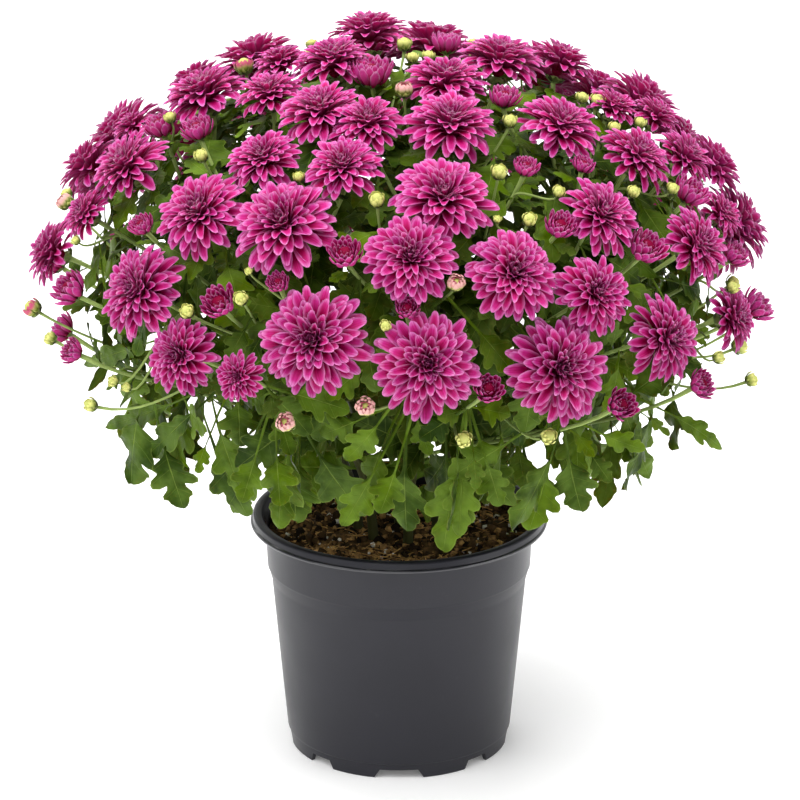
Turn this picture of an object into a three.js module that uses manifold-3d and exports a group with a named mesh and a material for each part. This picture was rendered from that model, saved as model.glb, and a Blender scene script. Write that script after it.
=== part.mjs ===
// A pot chrysanthemum: a dome of layered blooms, half-open blooms and buds on leafy stems, in soil in a
// plastic pot. Millimetres, +Z up. The front looks along -Y. The origin is on the surface that the pot stands
// on, in the middle of the whole plant's width and depth. The plant is laid out round the pot's own axis, and
// then moved there.
//
// The pot, the soil and each leafy stem are solids of their own. Each bloom is one solid, and blooms that
// grow into one another are one bunch. Every bloom sits just above its green cup, and every stem stands in
// a hole in the soil.
import * as THREE from "three";
import { mergeVertices } from "three/addons/utils/BufferGeometryUtils.js";
import Module from "manifold-3d";

const wasm = await Module();
wasm.setup();

// -------------------------------------------------------------------------------------- driving dimensions

const SEAT_GAP = 0.3; // between two pieces that rest on each other
const HOLE_SIDES = 6;

const POT = {
  height: 148,
  rimRadius: 90, // outside of the rolled lip
  lipHeight: 6.5,
  lipTop: 5, // width of the lip's flat top, with its rounded edge
  lipEdge: 2, // rounding of the lip's edge
  collarRadius: 79.3, // outside, under the lip
  collarFootRadius: 78,
  collarHeight: 33, // from the top of the lip down to the shoulder
  shoulderHeight: 7,
  bodyRadius: 75.4, // outside, under the shoulder
  bodyFootRadius: 67.6,
  footRadius: 66.5,
  footBandHeight: 9,
  wall: 1.6,
  floorUnderside: 4.6, // the floor hangs this far above the table
  footWidth: 3,
  sides: 36,
  notches: 8,
  notchHeight: 4.2,
  notchWidthLow: 25,
  notchWidthHigh: 19,
  drainRadius: 5,
  drainCircle: 55,
};

const SOIL = {
  level: 136, // mean height of the surface
  roughness: 1.6,
  rings: [0.45, 0.8],
  sides: 20,
  wallGap: 0.5,
};

// The crown of blooms: one ellipsoid above its widest level, and a deeper one below.
const CROWN = { widest: 302, radius: 208, rise: 130, drop: 185 };

// The front of the plant is laid out as it is seen from this standpoint: a bloom, bud or leaf tip is given
// by the place that it covers on an upright board through the pot's axis, as [across, up] from the origin.
const STANDPOINT = new THREE.Vector3(0, -2200, 980);

// Open blooms of the front: [across, up, diameter].
const FRONT_BLOOMS = [
  [-17, 444, 49],
  [-38, 427, 47],
  [-69, 427, 34],
  [59, 428, 50],
  [27, 415, 47],
  [94, 427, 44],
  [-76, 408, 38],
  [-114, 408, 49],
  [-46, 397, 47],
  [-18, 390, 42],
  [30, 389, 51],
  [95, 388, 47],
  [125, 400, 32],
  [151, 394, 33],
  [140, 370, 42],
  [168, 370, 39],
  [190, 335, 31],
  [119, 334, 45],
  [176, 315, 44],
  [-156, 389, 27],
  [-160, 364, 48],
  [-117, 335, 51],
  [-185, 335, 32],
  [-206, 312, 41],
  [-33, 363, 43],
  [-80, 368, 41],
  [26, 344, 54],
  [7, 307, 50],
  [-68, 328, 57],
  [68, 298, 50],
  [116, 285, 43],
  [159, 257, 46],
  [199, 270, 37],
  [-51, 256, 57],
  [17, 241, 55],
  [96, 238, 57],
  [-154, 287, 50],
  [-130, 246, 42],
  [-96, 233, 28],
];

// Half-open blooms of the front: [across, up, diameter].
const FRONT_CUPS = [
  [-16, 424, 24],
  [-119, 389, 18],
  [-141, 391, 19],
  [-153, 329, 14],
  [28, 441, 19],
  [62, 408, 17],
  [96, 329, 17],
  [174, 350, 20],
  [148, 316, 21],
  [201, 311, 16],
  [-32, 312, 18],
  [216, 279, 20],
  [-108, 281, 19],
  [-198, 290, 21],
  [54, 226, 16],
  [135, 216, 17],
  [183, 229, 16],
  [-197, 250, 15],
  [5, 277, 13],
  [109, 366, 12],
  [75, 365, 14],
  [-72, 293, 12],
];

// Buds of the front: [across, up, diameter].
const FRONT_BUDS = [
  [-90, 424, 12],
  [3, 437, 10],
  [3, 410, 11],
  [65, 391, 9],
  [59, 360, 10],
  [77, 331, 9],
  [-13, 343, 10],
  [-116, 370, 9],
  [-197, 342, 11],
  [116, 403, 10],
  [-218, 276, 12],
  [-208, 257, 9],
  [-185, 215, 9],
  [-126, 274, 9],
  [-94, 282, 9],
  [34, 292, 11],
  [39, 193, 10],
  [-20, 214, 12],
  [-68, 204, 12],
  [90, 195, 10],
  [211, 231, 9],
];

// Leaves that hang below the blooms in front: [tip across, tip up, root across, root up, width].
const FRONT_LEAVES = [
  [-209, 236, -184, 237, 14],
  [-182, 191, -164, 203, 15],
  [-162, 176, -131, 189, 16],
  [-125, 174, -120, 185, 13],
  [-119, 136, -114, 175, 29],
  [-97, 150, -94, 175, 20],
  [-74, 151, -60, 180, 28],
  [-33, 131, -32, 159, 20],
  [-9, 144, -22, 167, 22],
  [25, 117, 13, 165, 30],
  [38, 127, 44, 164, 21],
  [49, 165, 20, 167, 13],
  [61, 149, 56, 173, 20],
  [82, 132, 89, 167, 27],
  [108, 143, 104, 177, 30],
  [146, 180, 119, 188, 17],
  [155, 155, 137, 181, 24],
  [128, 166, 124, 181, 14],
  [205, 190, 171, 197, 15],
];

// The back of the dome is filled by rule, in bunches of two or three blooms that grow into one another.
const BACK = {
  seed: 20,
  trials: 200,
  bunches: 12,
  highest: 0.97, // as a share of the crown's rise
  lowest: 296,
  mainDiameter: [49, 56],
  sideDiameter: [40, 47],
  sides: 9, // places tried round the main bloom
  overlap: 0.84, // centre distance within a bunch, as a share of the two radii
  apart: 1.1, // least centre distance of the side blooms, as a share of their diameter
  clearance: 3,
  cups: { count: 6, diameter: [15, 21], lowest: 262, trials: 400 },
  buds: { count: 10, diameter: [8, 12], lowest: 225, trials: 400 },
};

// An open bloom, by its rings from its seat to its heart: tips and valleys as shares of its radius, and
// their heights as shares of its own height. The last ring's petals stand half a petal on.
const BLOOM = {
  petals: 8,
  fewPetals: 6, // of small blooms, and of those behind
  small: 35,
  height: 0.42, // as a share of the diameter
  rings: [
    { tip: 1, valley: 0.66, tipHeight: 0.2, valleyHeight: 0.36, odd: 0 },
    { tip: 0.52, valley: 0.6, tipHeight: 0.46, valleyHeight: 0.46, odd: 0 },
    { tip: 0.76, valley: 0.5, tipHeight: 0.82, valleyHeight: 0.78, odd: 1 },
  ],
};

// What ends a stalk, as shares of its diameter: the green cup under an open bloom, a half-open bloom and a
// bud. Depth is how far the stalk's end lies behind the middle of what it carries.
const GREEN_CUP = { depth: 0.1, radius: 0.13 };
const HALF_OPEN = { depth: 0.55, height: 1, radius: 0.5, waist: 0.82, heart: 0.7 };
const BUD = { depth: 0.45, height: 0.4, radius: 0.5, top: 0.9 };

const STEM = {
  count: 7, // leafy stems round the central one
  soilRadius: 25,
  holeDepth: 24,
  holeGap: 0.35,
  // the way of the outer stems above their feet, and of the central one: [outwards, height]
  course: [
    [0, 141],
    [9, 180],
    [37, 232],
    [73, 286],
    [99, 330],
  ],
  centreCourse: [
    [0, 141],
    [2, 200],
    [-2, 260],
    [3, 320],
    [0, 374],
  ],
  radii: [3.2, 3.2, 2.9, 2.5, 2.2, 1.9],
  stalkRadius: 1.4,
  budStalkRadius: 0.9,
  branching: [0.44, 0.98], // the stretch of a stem that its stalks leave from, from soil to tip
  budShares: [0.5, 0.62, 0.38], // where a stalk carries its buds
  clearance: 0.4, // round what passes through another piece's space
  centreReach: 66, // the central stem carries everything nearer to the axis than this,
  centreLowest: 285, // and above this
};

const LEAF = {
  thickness: 1.2,
  arch: 0.14,
  // one side of a blade's edge from root to tip: lobe, notch, lobe, notch, as shares of its length and half
  // width
  edge: [
    [0.36, 0.72],
    [0.47, 0.44],
    [0.7, 1],
    [0.77, 0.48],
  ],
  // the same with a stalk of its own: the end of the stalk, lobe, notch, lobe
  stalkedEdge: [
    [0, 0.1],
    [0.36, 0.86],
    [0.5, 0.5],
    [0.74, 0.94],
  ],
  rib: [0.34, 0.72], // the two thickest places, as shares of the blade's length
  breadth: 0.72,
  lean: 0.65, // how far a leaf leans along what it grows on
  shootShares: [0.32, 0.42, 0.54, 0.7],
  shootLength: [46, 58],
  stalkShare: 0.72,
  stalkLength: [34, 44],
  highest: 345, // no leaf on a stalk whose bloom is higher than this
  fringeShares: [0.4, 0.5, 0.6, 0.75], // where a leaf of the fringe may leave a shoot or a stalk
  tries: 9,
  shrink: 0.96, // a leaf is this much shorter at each new try to find it room
  margin: 1.2,
  elbowRoom: 5,
};

const GOLDEN_ANGLE = Math.PI * (3 - Math.sqrt(5));
const UP = new THREE.Vector3(0, 0, 1);

// ----------------------------------------------------------------------------------------------- utilities

/** A seeded source of numbers from 0 to 1, the same on every run. */
function seeded(seed) {
  let state = seed;
  return () => {
    state = (1664525 * state + 1013904223) % 4294967296;
    return state / 4294967296;
  };
}

const between = ([low, high], share) => low + (high - low) * share;
const polar = (radius, angle, z) => new THREE.Vector3(radius * Math.cos(angle), radius * Math.sin(angle), z);
const plus = (point, way, distance) => point.clone().addScaledVector(way, distance);

/** The angle between two directions round the axis, from 0 to half a turn. */
const turnBetween = (a, b) => Math.abs(Math.atan2(Math.sin(a - b), Math.cos(a - b)));

/** A closed geometry through rings of points, each ring anticlockwise about the way the rings run. The
 * first and the last ring are single points. */
function loft(rings) {
  const positions = rings.flat().flatMap((point) => point.toArray());
  const index = [];
  let start = 0;
  for (let r = 0; r + 1 < rings.length; r++) {
    const [here, there] = [rings[r].length, rings[r + 1].length];
    const next = start + here;
    const sides = Math.max(here, there);
    for (let i = 0; i < sides; i++) {
      const j = (i + 1) % sides;
      if (here === 1) index.push(start, next + j, next + i);
      else if (there === 1) index.push(start + i, start + j, next);
      else index.push(start + i, start + j, next + j, start + i, next + j, next + i);
    }
    start = next;
  }
  return new THREE.BufferGeometry()
    .setAttribute("position", new THREE.Float32BufferAttribute(positions, 3))
    .setIndex(index);
}

/** A solid for joining and cutting, from a closed geometry. */
function solidOf(geometry) {
  const bare = geometry.clone();
  bare.deleteAttribute("normal");
  bare.deleteAttribute("uv");
  const merged = mergeVertices(bare, 1e-4);
  return new wasm.Manifold(
    new wasm.Mesh({
      numProp: 3,
      vertProperties: new Float32Array(merged.attributes.position.array),
      triVerts: new Uint32Array(merged.index.array),
    }),
  );
}

/** The geometry of a solid's largest body: scraps that a cut has freed are dropped. */
function geometryOf(solid) {
  const [largest] = solid.decompose().sort((a, b) => b.volume() - a.volume());
  const mesh = largest.getMesh();
  return new THREE.BufferGeometry()
    .setAttribute("position", new THREE.BufferAttribute(mesh.vertProperties, 3))
    .setIndex(new THREE.BufferAttribute(mesh.triVerts, 1));
}

/** A named mesh in its material. */
function meshOf(name, solid, material) {
  const mesh = new THREE.Mesh(geometryOf(solid), material);
  mesh.name = name;
  return mesh;
}

/** Puts a geometry made round +Z at a place, turned to a facing and rolled about it. */
function put(geometry, place, facing, roll = 0) {
  const turn = new THREE.Quaternion().setFromUnitVectors(UP, facing);
  turn.multiply(new THREE.Quaternion().setFromAxisAngle(UP, roll));
  return geometry.applyMatrix4(new THREE.Matrix4().compose(place, turn, new THREE.Vector3(1, 1, 1)));
}

// ---------------------------------------------------------------------------------------- the crown's form

/** The crown's surface where it covers a place on the board: a point and its outward direction. */
function crownCovering(across, up) {
  const along = new THREE.Vector3(across, 0, up).sub(STANDPOINT);
  const meet = (height) => {
    const squash = new THREE.Vector3(1 / CROWN.radius, 1 / CROWN.radius, 1 / height);
    const from = STANDPOINT.clone().sub(new THREE.Vector3(0, 0, CROWN.widest)).multiply(squash);
    const way = along.clone().multiply(squash);
    const [a, b, c] = [way.lengthSq(), 2 * from.dot(way), from.lengthSq() - 1];
    const root = b * b - 4 * a * c;
    const share = root > 0 ? (-b - Math.sqrt(root)) / (2 * a) : -b / (2 * a);
    return STANDPOINT.clone().addScaledVector(along, share);
  };
  const low = meet(CROWN.drop);
  const point = low.z > CROWN.widest ? meet(CROWN.rise) : low;
  return { point, outward: crownOutward(point) };
}

/** The crown's outward direction at a point on or near it. */
function crownOutward(point) {
  const height = point.z > CROWN.widest ? CROWN.rise : CROWN.drop;
  return new THREE.Vector3(
    point.x / CROWN.radius ** 2,
    point.y / CROWN.radius ** 2,
    (point.z - CROWN.widest) / height ** 2,
  ).normalize();
}

/** The crown's surface on the way out from a point. */
function ontoCrown(point) {
  const height = point.z > CROWN.widest ? CROWN.rise : CROWN.drop;
  const rise = point.z - CROWN.widest;
  const reach = Math.hypot(Math.hypot(point.x, point.y) / CROWN.radius, rise / height);
  return new THREE.Vector3(point.x / reach, point.y / reach, CROWN.widest + rise / reach);
}

/** The crown's surface at a height, in a direction round the axis. */
function crownAt(angle, z) {
  const height = z > CROWN.widest ? CROWN.rise : CROWN.drop;
  return polar(CROWN.radius * Math.sqrt(1 - ((z - CROWN.widest) / height) ** 2), angle, z);
}

const facesAway = (point) => crownOutward(point).dot(STANDPOINT.clone().sub(point)) < 0;

/** A bloom, half-open bloom or bud at a point of the crown. */
const sproutAt = (kind, point, diameter) => ({ kind, point, facing: crownOutward(point), diameter });

/** Whether a new sprout at a point keeps its distance from all the others. */
const hasRoom = (point, diameter, others) =>
  others.every((other) => other.point.distanceTo(point) > (other.diameter + diameter) / 2 + BACK.clearance);

/** The blooms, half-open blooms and buds of the front, by their lists. */
function layOutFront() {
  const all = (kind, list) =>
    list.map(([across, up, diameter]) => ({
      ...sproutAt(kind, crownCovering(across, up).point, diameter),
      front: true,
    }));
  return [...all("bloom", FRONT_BLOOMS), ...all("cup", FRONT_CUPS), ...all("bud", FRONT_BUDS)];
}

/** The blooms that join a main bloom in its bunch: up to two, beside it and apart from each other. */
function sideBlooms(main, angle, others, chance) {
  const across = new THREE.Vector3().crossVectors(main.facing, UP).normalize();
  const over = new THREE.Vector3().crossVectors(across, main.facing).normalize();
  const joined = [];
  for (let k = 0; k < BACK.sides && joined.length < 2; k++) {
    const diameter = between(BACK.sideDiameter, chance());
    const distance = ((main.diameter + diameter) / 2) * BACK.overlap;
    const turn = angle + (k * Math.PI * 2) / BACK.sides;
    const beside = plus(main.point, across, distance * Math.cos(turn));
    const point = ontoCrown(plus(beside, over, distance * Math.sin(turn)));
    const apart = joined.every((other) => other.point.distanceTo(point) > diameter * BACK.apart);
    if (point.z < BACK.lowest || !facesAway(point) || !apart) continue;
    if (hasRoom(point, diameter, others)) joined.push(sproutAt("bloom", point, diameter));
  }
  return joined;
}

/** The bunches of the back, down the crown from its top. */
function layOutBackBlooms(others, chance) {
  const blooms = [];
  const top = CROWN.widest + CROWN.rise * BACK.highest;
  let bunches = 0;
  for (let i = 0; i < BACK.trials && bunches < BACK.bunches; i++) {
    const angle = i * GOLDEN_ANGLE;
    const point = crownAt(angle, between([top, BACK.lowest], (i + 0.5) / BACK.trials));
    const main = sproutAt("bloom", point, between(BACK.mainDiameter, chance()));
    if (!facesAway(point) || !hasRoom(point, main.diameter, [...others, ...blooms])) continue;
    const sides = sideBlooms(main, angle, [...others, ...blooms], chance);
    if (sides.length === 0) continue;
    blooms.push(main, ...sides);
    bunches += 1;
  }
  return blooms;
}

/** Half-open blooms or buds in the gaps of the back. */
function layOutBackGaps(kind, { count, diameter, lowest, trials }, others, chance) {
  const made = [];
  const top = CROWN.widest + CROWN.rise * BACK.highest;
  for (let i = 0; i < trials && made.length < count; i++) {
    const z = between([top, lowest], chance());
    const point = crownAt(chance() * 2 * Math.PI, z);
    const sprout = sproutAt(kind, point, between(diameter, chance()));
    if (facesAway(point) && hasRoom(point, sprout.diameter, [...others, ...made])) made.push(sprout);
  }
  return made;
}

/** Everything that ends a stalk. */
function layOutSprouts() {
  const chance = seeded(BACK.seed);
  const sprouts = layOutFront();
  sprouts.push(...layOutBackBlooms(sprouts, chance));
  sprouts.push(...layOutBackGaps("cup", BACK.cups, sprouts, chance));
  sprouts.push(...layOutBackGaps("bud", BACK.buds, sprouts, chance));
  return sprouts;
}

/** The leaves that hang below the blooms, and every other one of them again behind, turned half round the
 * axis. */
function layOutFringe() {
  const front = FRONT_LEAVES.map(([tipAcross, tipUp, rootAcross, rootUp, width]) => {
    const { point: tip, outward: upper } = crownCovering(tipAcross, tipUp);
    return { root: crownCovering(rootAcross, rootUp).point, tip, upper, width };
  });
  const turned = (v) => v.clone().applyAxisAngle(UP, Math.PI);
  const back = front
    .filter((_, i) => i % 2 === 0)
    .map((leaf) => ({ ...leaf, root: turned(leaf.root), tip: turned(leaf.tip), upper: turned(leaf.upper) }));
  return [...front, ...back];
}

// -------------------------------------------------------------------------------------------- pot and soil

/** A closed ring or disc of revolution through [radius, height] points. */
function turned(profile, sides) {
  const points = profile.map(([radius, height]) => new THREE.Vector2(radius, height));
  return solidOf(new THREE.LatheGeometry(points, sides).rotateX(Math.PI / 2));
}

/** The pot's outside radius at a height on its tapering body. */
function bodyRadiusAt(z) {
  const top = POT.height - POT.collarHeight - POT.shoulderHeight;
  const share = (z - POT.footBandHeight) / (top - POT.footBandHeight);
  return between([POT.bodyFootRadius, POT.bodyRadius], share);
}

/** A six-sided upright cutter round a place. */
function uprightHole(place, radius, depth) {
  const hole = new THREE.CylinderGeometry(radius, radius, depth, HOLE_SIDES).rotateX(Math.PI / 2);
  return solidOf(hole.translate(place.x, place.y, place.z));
}

/** A nursery pot: rolled lip, collar, shoulder, tapering body and a notched foot, with drain holes in its
 * floor. */
function makePot(material) {
  const { height, wall, floorUnderside, footRadius, footWidth, footBandHeight, lipEdge } = POT;
  const lipUnder = height - POT.lipHeight;
  const shoulderTop = height - POT.collarHeight;
  const shoulderFoot = shoulderTop - POT.shoulderHeight;
  const floorTop = floorUnderside + wall;
  const outside = [
    [footRadius - footWidth, 0],
    [footRadius, 0],
    [POT.bodyFootRadius, footBandHeight],
    [POT.bodyRadius, shoulderFoot],
    [POT.collarFootRadius, shoulderTop],
    [POT.collarRadius, lipUnder],
    [POT.rimRadius - lipEdge / 2, lipUnder],
    [POT.rimRadius, height - lipEdge],
    [POT.rimRadius - lipEdge, height],
  ];
  const inside = [
    [POT.rimRadius - POT.lipTop, height],
    [POT.collarRadius - wall, lipUnder + lipEdge],
    [POT.collarFootRadius - wall, shoulderTop],
    [POT.bodyRadius - wall, shoulderFoot],
    [bodyRadiusAt(floorTop) - wall, floorTop],
    [0, floorTop],
    [0, floorUnderside],
    [footRadius - footWidth, floorUnderside],
    [footRadius - footWidth, 0],
  ];
  let pot = turned([...outside, ...inside], POT.sides);

  const notch = new THREE.Shape(
    [
      [-POT.notchWidthLow / 2, -1],
      [POT.notchWidthLow / 2, -1],
      [POT.notchWidthHigh / 2, POT.notchHeight],
      [-POT.notchWidthHigh / 2, POT.notchHeight],
    ].map(([x, z]) => new THREE.Vector2(x, z)),
  );
  const cuts = [];
  for (let k = 0; k < POT.notches; k++) {
    const angle = (k * 2 * Math.PI) / POT.notches;
    const cutter = new THREE.ExtrudeGeometry(notch, { depth: 3 * footWidth, bevelEnabled: false });
    cutter.rotateX(Math.PI / 2).translate(0, -(footRadius - 2 * footWidth), 0);
    cuts.push(solidOf(cutter.rotateZ(angle)));
    const place = polar(POT.drainCircle, angle - Math.PI / 2, floorTop);
    cuts.push(uprightHole(place, POT.drainRadius, 4 * wall));
  }
  pot = pot.subtract(wasm.Manifold.union(cuts));
  return meshOf("pot", pot, material);
}

/** Height of the soil's uneven surface. */
function soilLevelAt(x, y) {
  const lumps = Math.sin(x * 0.11 + 1.3) * Math.cos(y * 0.13) + 0.6 * Math.sin(x * 0.05 - y * 0.21);
  return SOIL.level + SOIL.roughness * lumps;
}

/** The soil that fills the pot, with an uneven top and a plain hole for each stem. */
function makeSoil(stems, material) {
  const floor = POT.floorUnderside + POT.wall + SEAT_GAP;
  const ringAt = (radius, z) =>
    Array.from({ length: SOIL.sides }, (_, i) => polar(radius, (i * 2 * Math.PI) / SOIL.sides, z));
  const shoulder = POT.height - POT.collarHeight - POT.shoulderHeight;
  const inner = (outer) => outer - POT.wall - SOIL.wallGap;
  const widest = inner(POT.collarFootRadius);
  const rings = [
    [new THREE.Vector3(0, 0, floor)],
    ringAt(inner(bodyRadiusAt(floor)), floor),
    ringAt(inner(POT.bodyRadius), shoulder),
    ringAt(widest, POT.height - POT.collarHeight),
    ringAt(widest, SOIL.level),
    ...[...SOIL.rings].reverse().map((share) => ringAt(widest * share, SOIL.level)),
    [new THREE.Vector3(0, 0, SOIL.level)],
  ];
  for (const ring of rings.slice(4)) for (const point of ring) point.z = soilLevelAt(point.x, point.y);
  const radius = (STEM.radii[0] + STEM.holeGap) / Math.cos(Math.PI / HOLE_SIDES);
  const depth = STEM.holeDepth + 3 * SOIL.roughness;
  const holes = stems.map(({ foot }) => uprightHole(plus(foot, UP, depth / 2 - SEAT_GAP), radius, depth));
  return meshOf("soil", solidOf(loft(rings)).subtract(wasm.Manifold.union(holes)), material);
}

// -------------------------------------------------------------------------------------------------- blooms

/** An open bloom: a wide layer of petals, a raised layer turned half a petal, and the closed heart. Its
 * seat is the origin and it faces +Z. */
function bloomGeometry(diameter, petals) {
  const height = diameter * BLOOM.height;
  const rings = BLOOM.rings.map(({ tip, valley, tipHeight, valleyHeight, odd }) =>
    Array.from({ length: 2 * petals }, (_, i) => {
      const [reach, rise] = i % 2 === odd ? [tip, tipHeight] : [valley, valleyHeight];
      return polar((reach * diameter) / 2, (i * Math.PI) / petals, rise * height);
    }),
  );
  return loft([[new THREE.Vector3()], ...rings, [new THREE.Vector3(0, 0, height)]]);
}

/** Where a bloom's green cup meets it: half of the bloom's height behind its middle. */
const seatOf = ({ point, facing, diameter }) => plus(point, facing, -0.5 * BLOOM.height * diameter);

/** The blooms as named meshes. Blooms that grow into one another become one bunch, cut clear of whatever
 * stalk passes through it. */
function makeBlooms(open, stalks, material) {
  const solids = open.map((bloom, i) => {
    const petals = bloom.front && bloom.diameter > BLOOM.small ? BLOOM.petals : BLOOM.fewPetals;
    return solidOf(put(bloomGeometry(bloom.diameter, petals), seatOf(bloom), bloom.facing, i * GOLDEN_ANGLE));
  });
  const bunchOf = open.map((_, i) => i);
  const rootOf = (i) => (bunchOf[i] === i ? i : rootOf(bunchOf[i]));
  open.forEach((a, i) =>
    open.slice(0, i).forEach((b, j) => {
      const near = a.point.distanceTo(b.point) < (a.diameter + b.diameter) / 2;
      if (near && solids[i].intersect(solids[j]).volume() > 0) bunchOf[rootOf(i)] = rootOf(j);
    }),
  );
  const roots = [...new Set(open.map((_, i) => rootOf(i)))];
  return roots.map((root, number) => {
    const members = open.filter((_, i) => rootOf(i) === root);
    let bunch = wasm.Manifold.union(solids.filter((_, i) => rootOf(i) === root));
    for (const { sprout, clearance } of stalks) {
      if (members.includes(sprout)) continue;
      const passing = solidOf(clearance);
      if (bunch.intersect(passing).volume() > 0) bunch = bunch.subtract(passing);
    }
    const name = (members.length > 1 ? "bunch_" : "bloom_") + String(number + 1).padStart(2, "0");
    return meshOf(name, bunch, material);
  });
}

// --------------------------------------------------------------------------------------------- leafy stems

/** The joints of a leafy stem's own shoot, from its foot in the soil up and out into the crown. */
function shootJoints(number) {
  const foot = [0, SOIL.level - STEM.holeDepth];
  const [course, start] = number === 0 ? [STEM.centreCourse, 0] : [STEM.course, STEM.soilRadius];
  return [foot, ...course].map(([spread, z]) => polar(start + spread, stemAngle(number), z));
}

const stemAngle = (number) => ((number - 0.5) * 2 * Math.PI) / STEM.count;

/** The leafy stem that carries a point of the crown. */
function stemNumberOf(point) {
  if (Math.hypot(point.x, point.y) < STEM.centreReach) return 0;
  const turn = Math.atan2(point.y, point.x) / (2 * Math.PI);
  return 1 + Math.floor((turn - Math.floor(turn)) * STEM.count);
}

/** Whether a point keeps a margin inside the space of its own leafy stem. */
function withinSpace(number, point, margin) {
  const radius = Math.hypot(point.x, point.y);
  const high = point.z > STEM.centreLowest;
  if (number === 0) return high && radius < STEM.centreReach - margin;
  const off = turnBetween(Math.atan2(point.y, point.x), stemAngle(number));
  const half = Math.PI / STEM.count;
  const clearOfCentre = !high || radius > STEM.centreReach + margin;
  return off < half && radius * Math.sin(half - off) > margin && clearOfCentre;
}

/** A closed tube through joints, with a ring of the given radius at each. It may end in a head: rings of
 * { height, radius, waist } about the facing, where every other point stands in by its waist, and a top. */
function stalkGeometry({ joints, radii, sides, facing, head = [], top = 0 }) {
  const last = joints.length - 1;
  let across = new THREE.Vector3(1, 0.3, 0.1);
  const ring = (centre, axis, radius, waist = 1) => {
    across = across.clone().projectOnPlane(axis).normalize();
    const over = new THREE.Vector3().crossVectors(axis, across);
    return Array.from({ length: sides }, (_, i) => {
      const angle = (i * 2 * Math.PI) / sides;
      const wide = i % 2 ? radius * waist : radius;
      return plus(plus(centre, across, wide * Math.cos(angle)), over, wide * Math.sin(angle));
    });
  };
  const tube = joints.map((joint, i) => {
    const axis = joints[Math.min(i + 1, last)].clone().sub(joints[Math.max(i - 1, 0)]).normalize();
    return ring(joint, axis, radii[i]);
  });
  const above = (height) => plus(joints[last], facing, height);
  const headRings = head.map(({ height, radius, waist }) => ring(above(height), facing, radius, waist));
  return loft([[joints[0]], ...tube, ...headRings, [above(top)]]);
}

/** The place and the direction at a share of the way along a tube's joints. */
function placeOn(joints, share) {
  const steps = joints.length - 1;
  const joint = Math.min(steps - 1, Math.floor(share * steps));
  const [from, to] = [joints[joint], joints[joint + 1]];
  return { root: from.clone().lerp(to, share * steps - joint), along: to.clone().sub(from).normalize() };
}

/** Evenly spread places along a tube's joints. */
const placesAlong = (joints, count) =>
  Array.from({ length: count }, (_, i) => placeOn(joints, (i + 1) / count).root);

/** How a sprout's stalk ends: how far behind the sprout, and the tube's radius, sides, head and top. */
function endOf({ kind, diameter }) {
  const of = (share) => share * diameter;
  if (kind === "bloom") {
    const top = of(GREEN_CUP.depth);
    const head = [{ height: top, radius: of(GREEN_CUP.radius) }];
    return { depth: of(0.5 * BLOOM.height) + SEAT_GAP + top, radius: STEM.stalkRadius, sides: 3, head, top };
  }
  const [shape, radius, sides] =
    kind === "cup" ? [HALF_OPEN, STEM.stalkRadius, 6] : [BUD, STEM.budStalkRadius, 4];
  const head = [{ height: of(shape.height), radius: of(shape.radius), waist: shape.waist }];
  return { depth: of(shape.depth), radius, sides, head, top: of(shape.heart ?? shape.top) };
}

/** A lobed leaf: side lobes and a tip lobe, thickest along its rib, on a stalk that takes up the bare
 * share of its length. It grows from the origin along +X, its upper face towards +Z. */
function leafGeometry(length, width, bare) {
  const lobes = bare > 0 ? LEAF.stalkedEdge : LEAF.edge;
  const arched = (x, y, z = 0) => {
    const reach = bare + (1 - bare) * x;
    return new THREE.Vector3(reach * length, (y * width) / 2, z - LEAF.arch * length * reach * reach);
  };
  const edge = [
    new THREE.Vector3(),
    ...lobes.map(([x, y]) => arched(x, -y)),
    arched(1, 0),
    ...[...lobes].reverse().map(([x, y]) => arched(x, y)),
  ];
  const rib = (z) => LEAF.rib.map((x) => arched(x, 0, z));
  const points = [...edge, ...rib(LEAF.thickness / 2), ...rib(-LEAF.thickness / 2)];
  const [lowRib, highRib] = [edge.length, edge.length + 1];
  const upper = [
    ...[0, 1, 8, 9].map((i) => [lowRib, i, (i + 1) % edge.length]),
    ...[2, 3, 4, 5, 6, 7].map((i) => [highRib, i, i + 1]),
    [lowRib, 2, highRib],
    [highRib, 8, lowRib],
  ];
  const below = (v) => (v < edge.length ? v : v + 2);
  const lower = upper.map(([u, v, w]) => [below(u), below(w), below(v)]);
  return new THREE.BufferGeometry().setFromPoints(points).setIndex([...upper, ...lower].flat());
}

/** Puts a leaf at its root, along a direction and with its upper face as near as it can be to a given
 * side. */
function putLeaf({ root, along, upper, length, width, bare = 0 }) {
  const x = along.clone().normalize();
  const y = new THREE.Vector3().crossVectors(upper, x).normalize();
  const z = new THREE.Vector3().crossVectors(x, y);
  const place = new THREE.Matrix4().makeBasis(x, y, z).setPosition(root);
  return leafGeometry(length, width, bare).applyMatrix4(place);
}

/** The corners of a leaf beyond its root. */
function cornersOf(leaf) {
  const position = leaf.getAttribute("position");
  const corner = (i) => new THREE.Vector3().fromBufferAttribute(position, i);
  return Array.from({ length: position.count - 1 }, (_, i) => corner(i + 1));
}

/** Whether a leaf keeps inside its stem's space, above the pot, and clear of the blooms and of what grows
 * there. */
function leafIsClear(corners, number, blooms, taken) {
  return corners.every((point) => {
    if (!withinSpace(number, point, LEAF.margin) || point.z < POT.height + LEAF.margin) return false;
    if (taken.some((other) => other.distanceTo(point) < LEAF.elbowRoom)) return false;
    return blooms.every((bloom) => {
      const from = point.clone().sub(bloom.point);
      const rise = from.dot(bloom.facing);
      const away = Math.sqrt(Math.max(0, from.lengthSq() - rise * rise));
      const deep = 0.5 * BLOOM.height * bloom.diameter + LEAF.margin;
      return Math.abs(rise) > deep || away > bloom.diameter / 2 + LEAF.margin;
    });
  });
}

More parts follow.
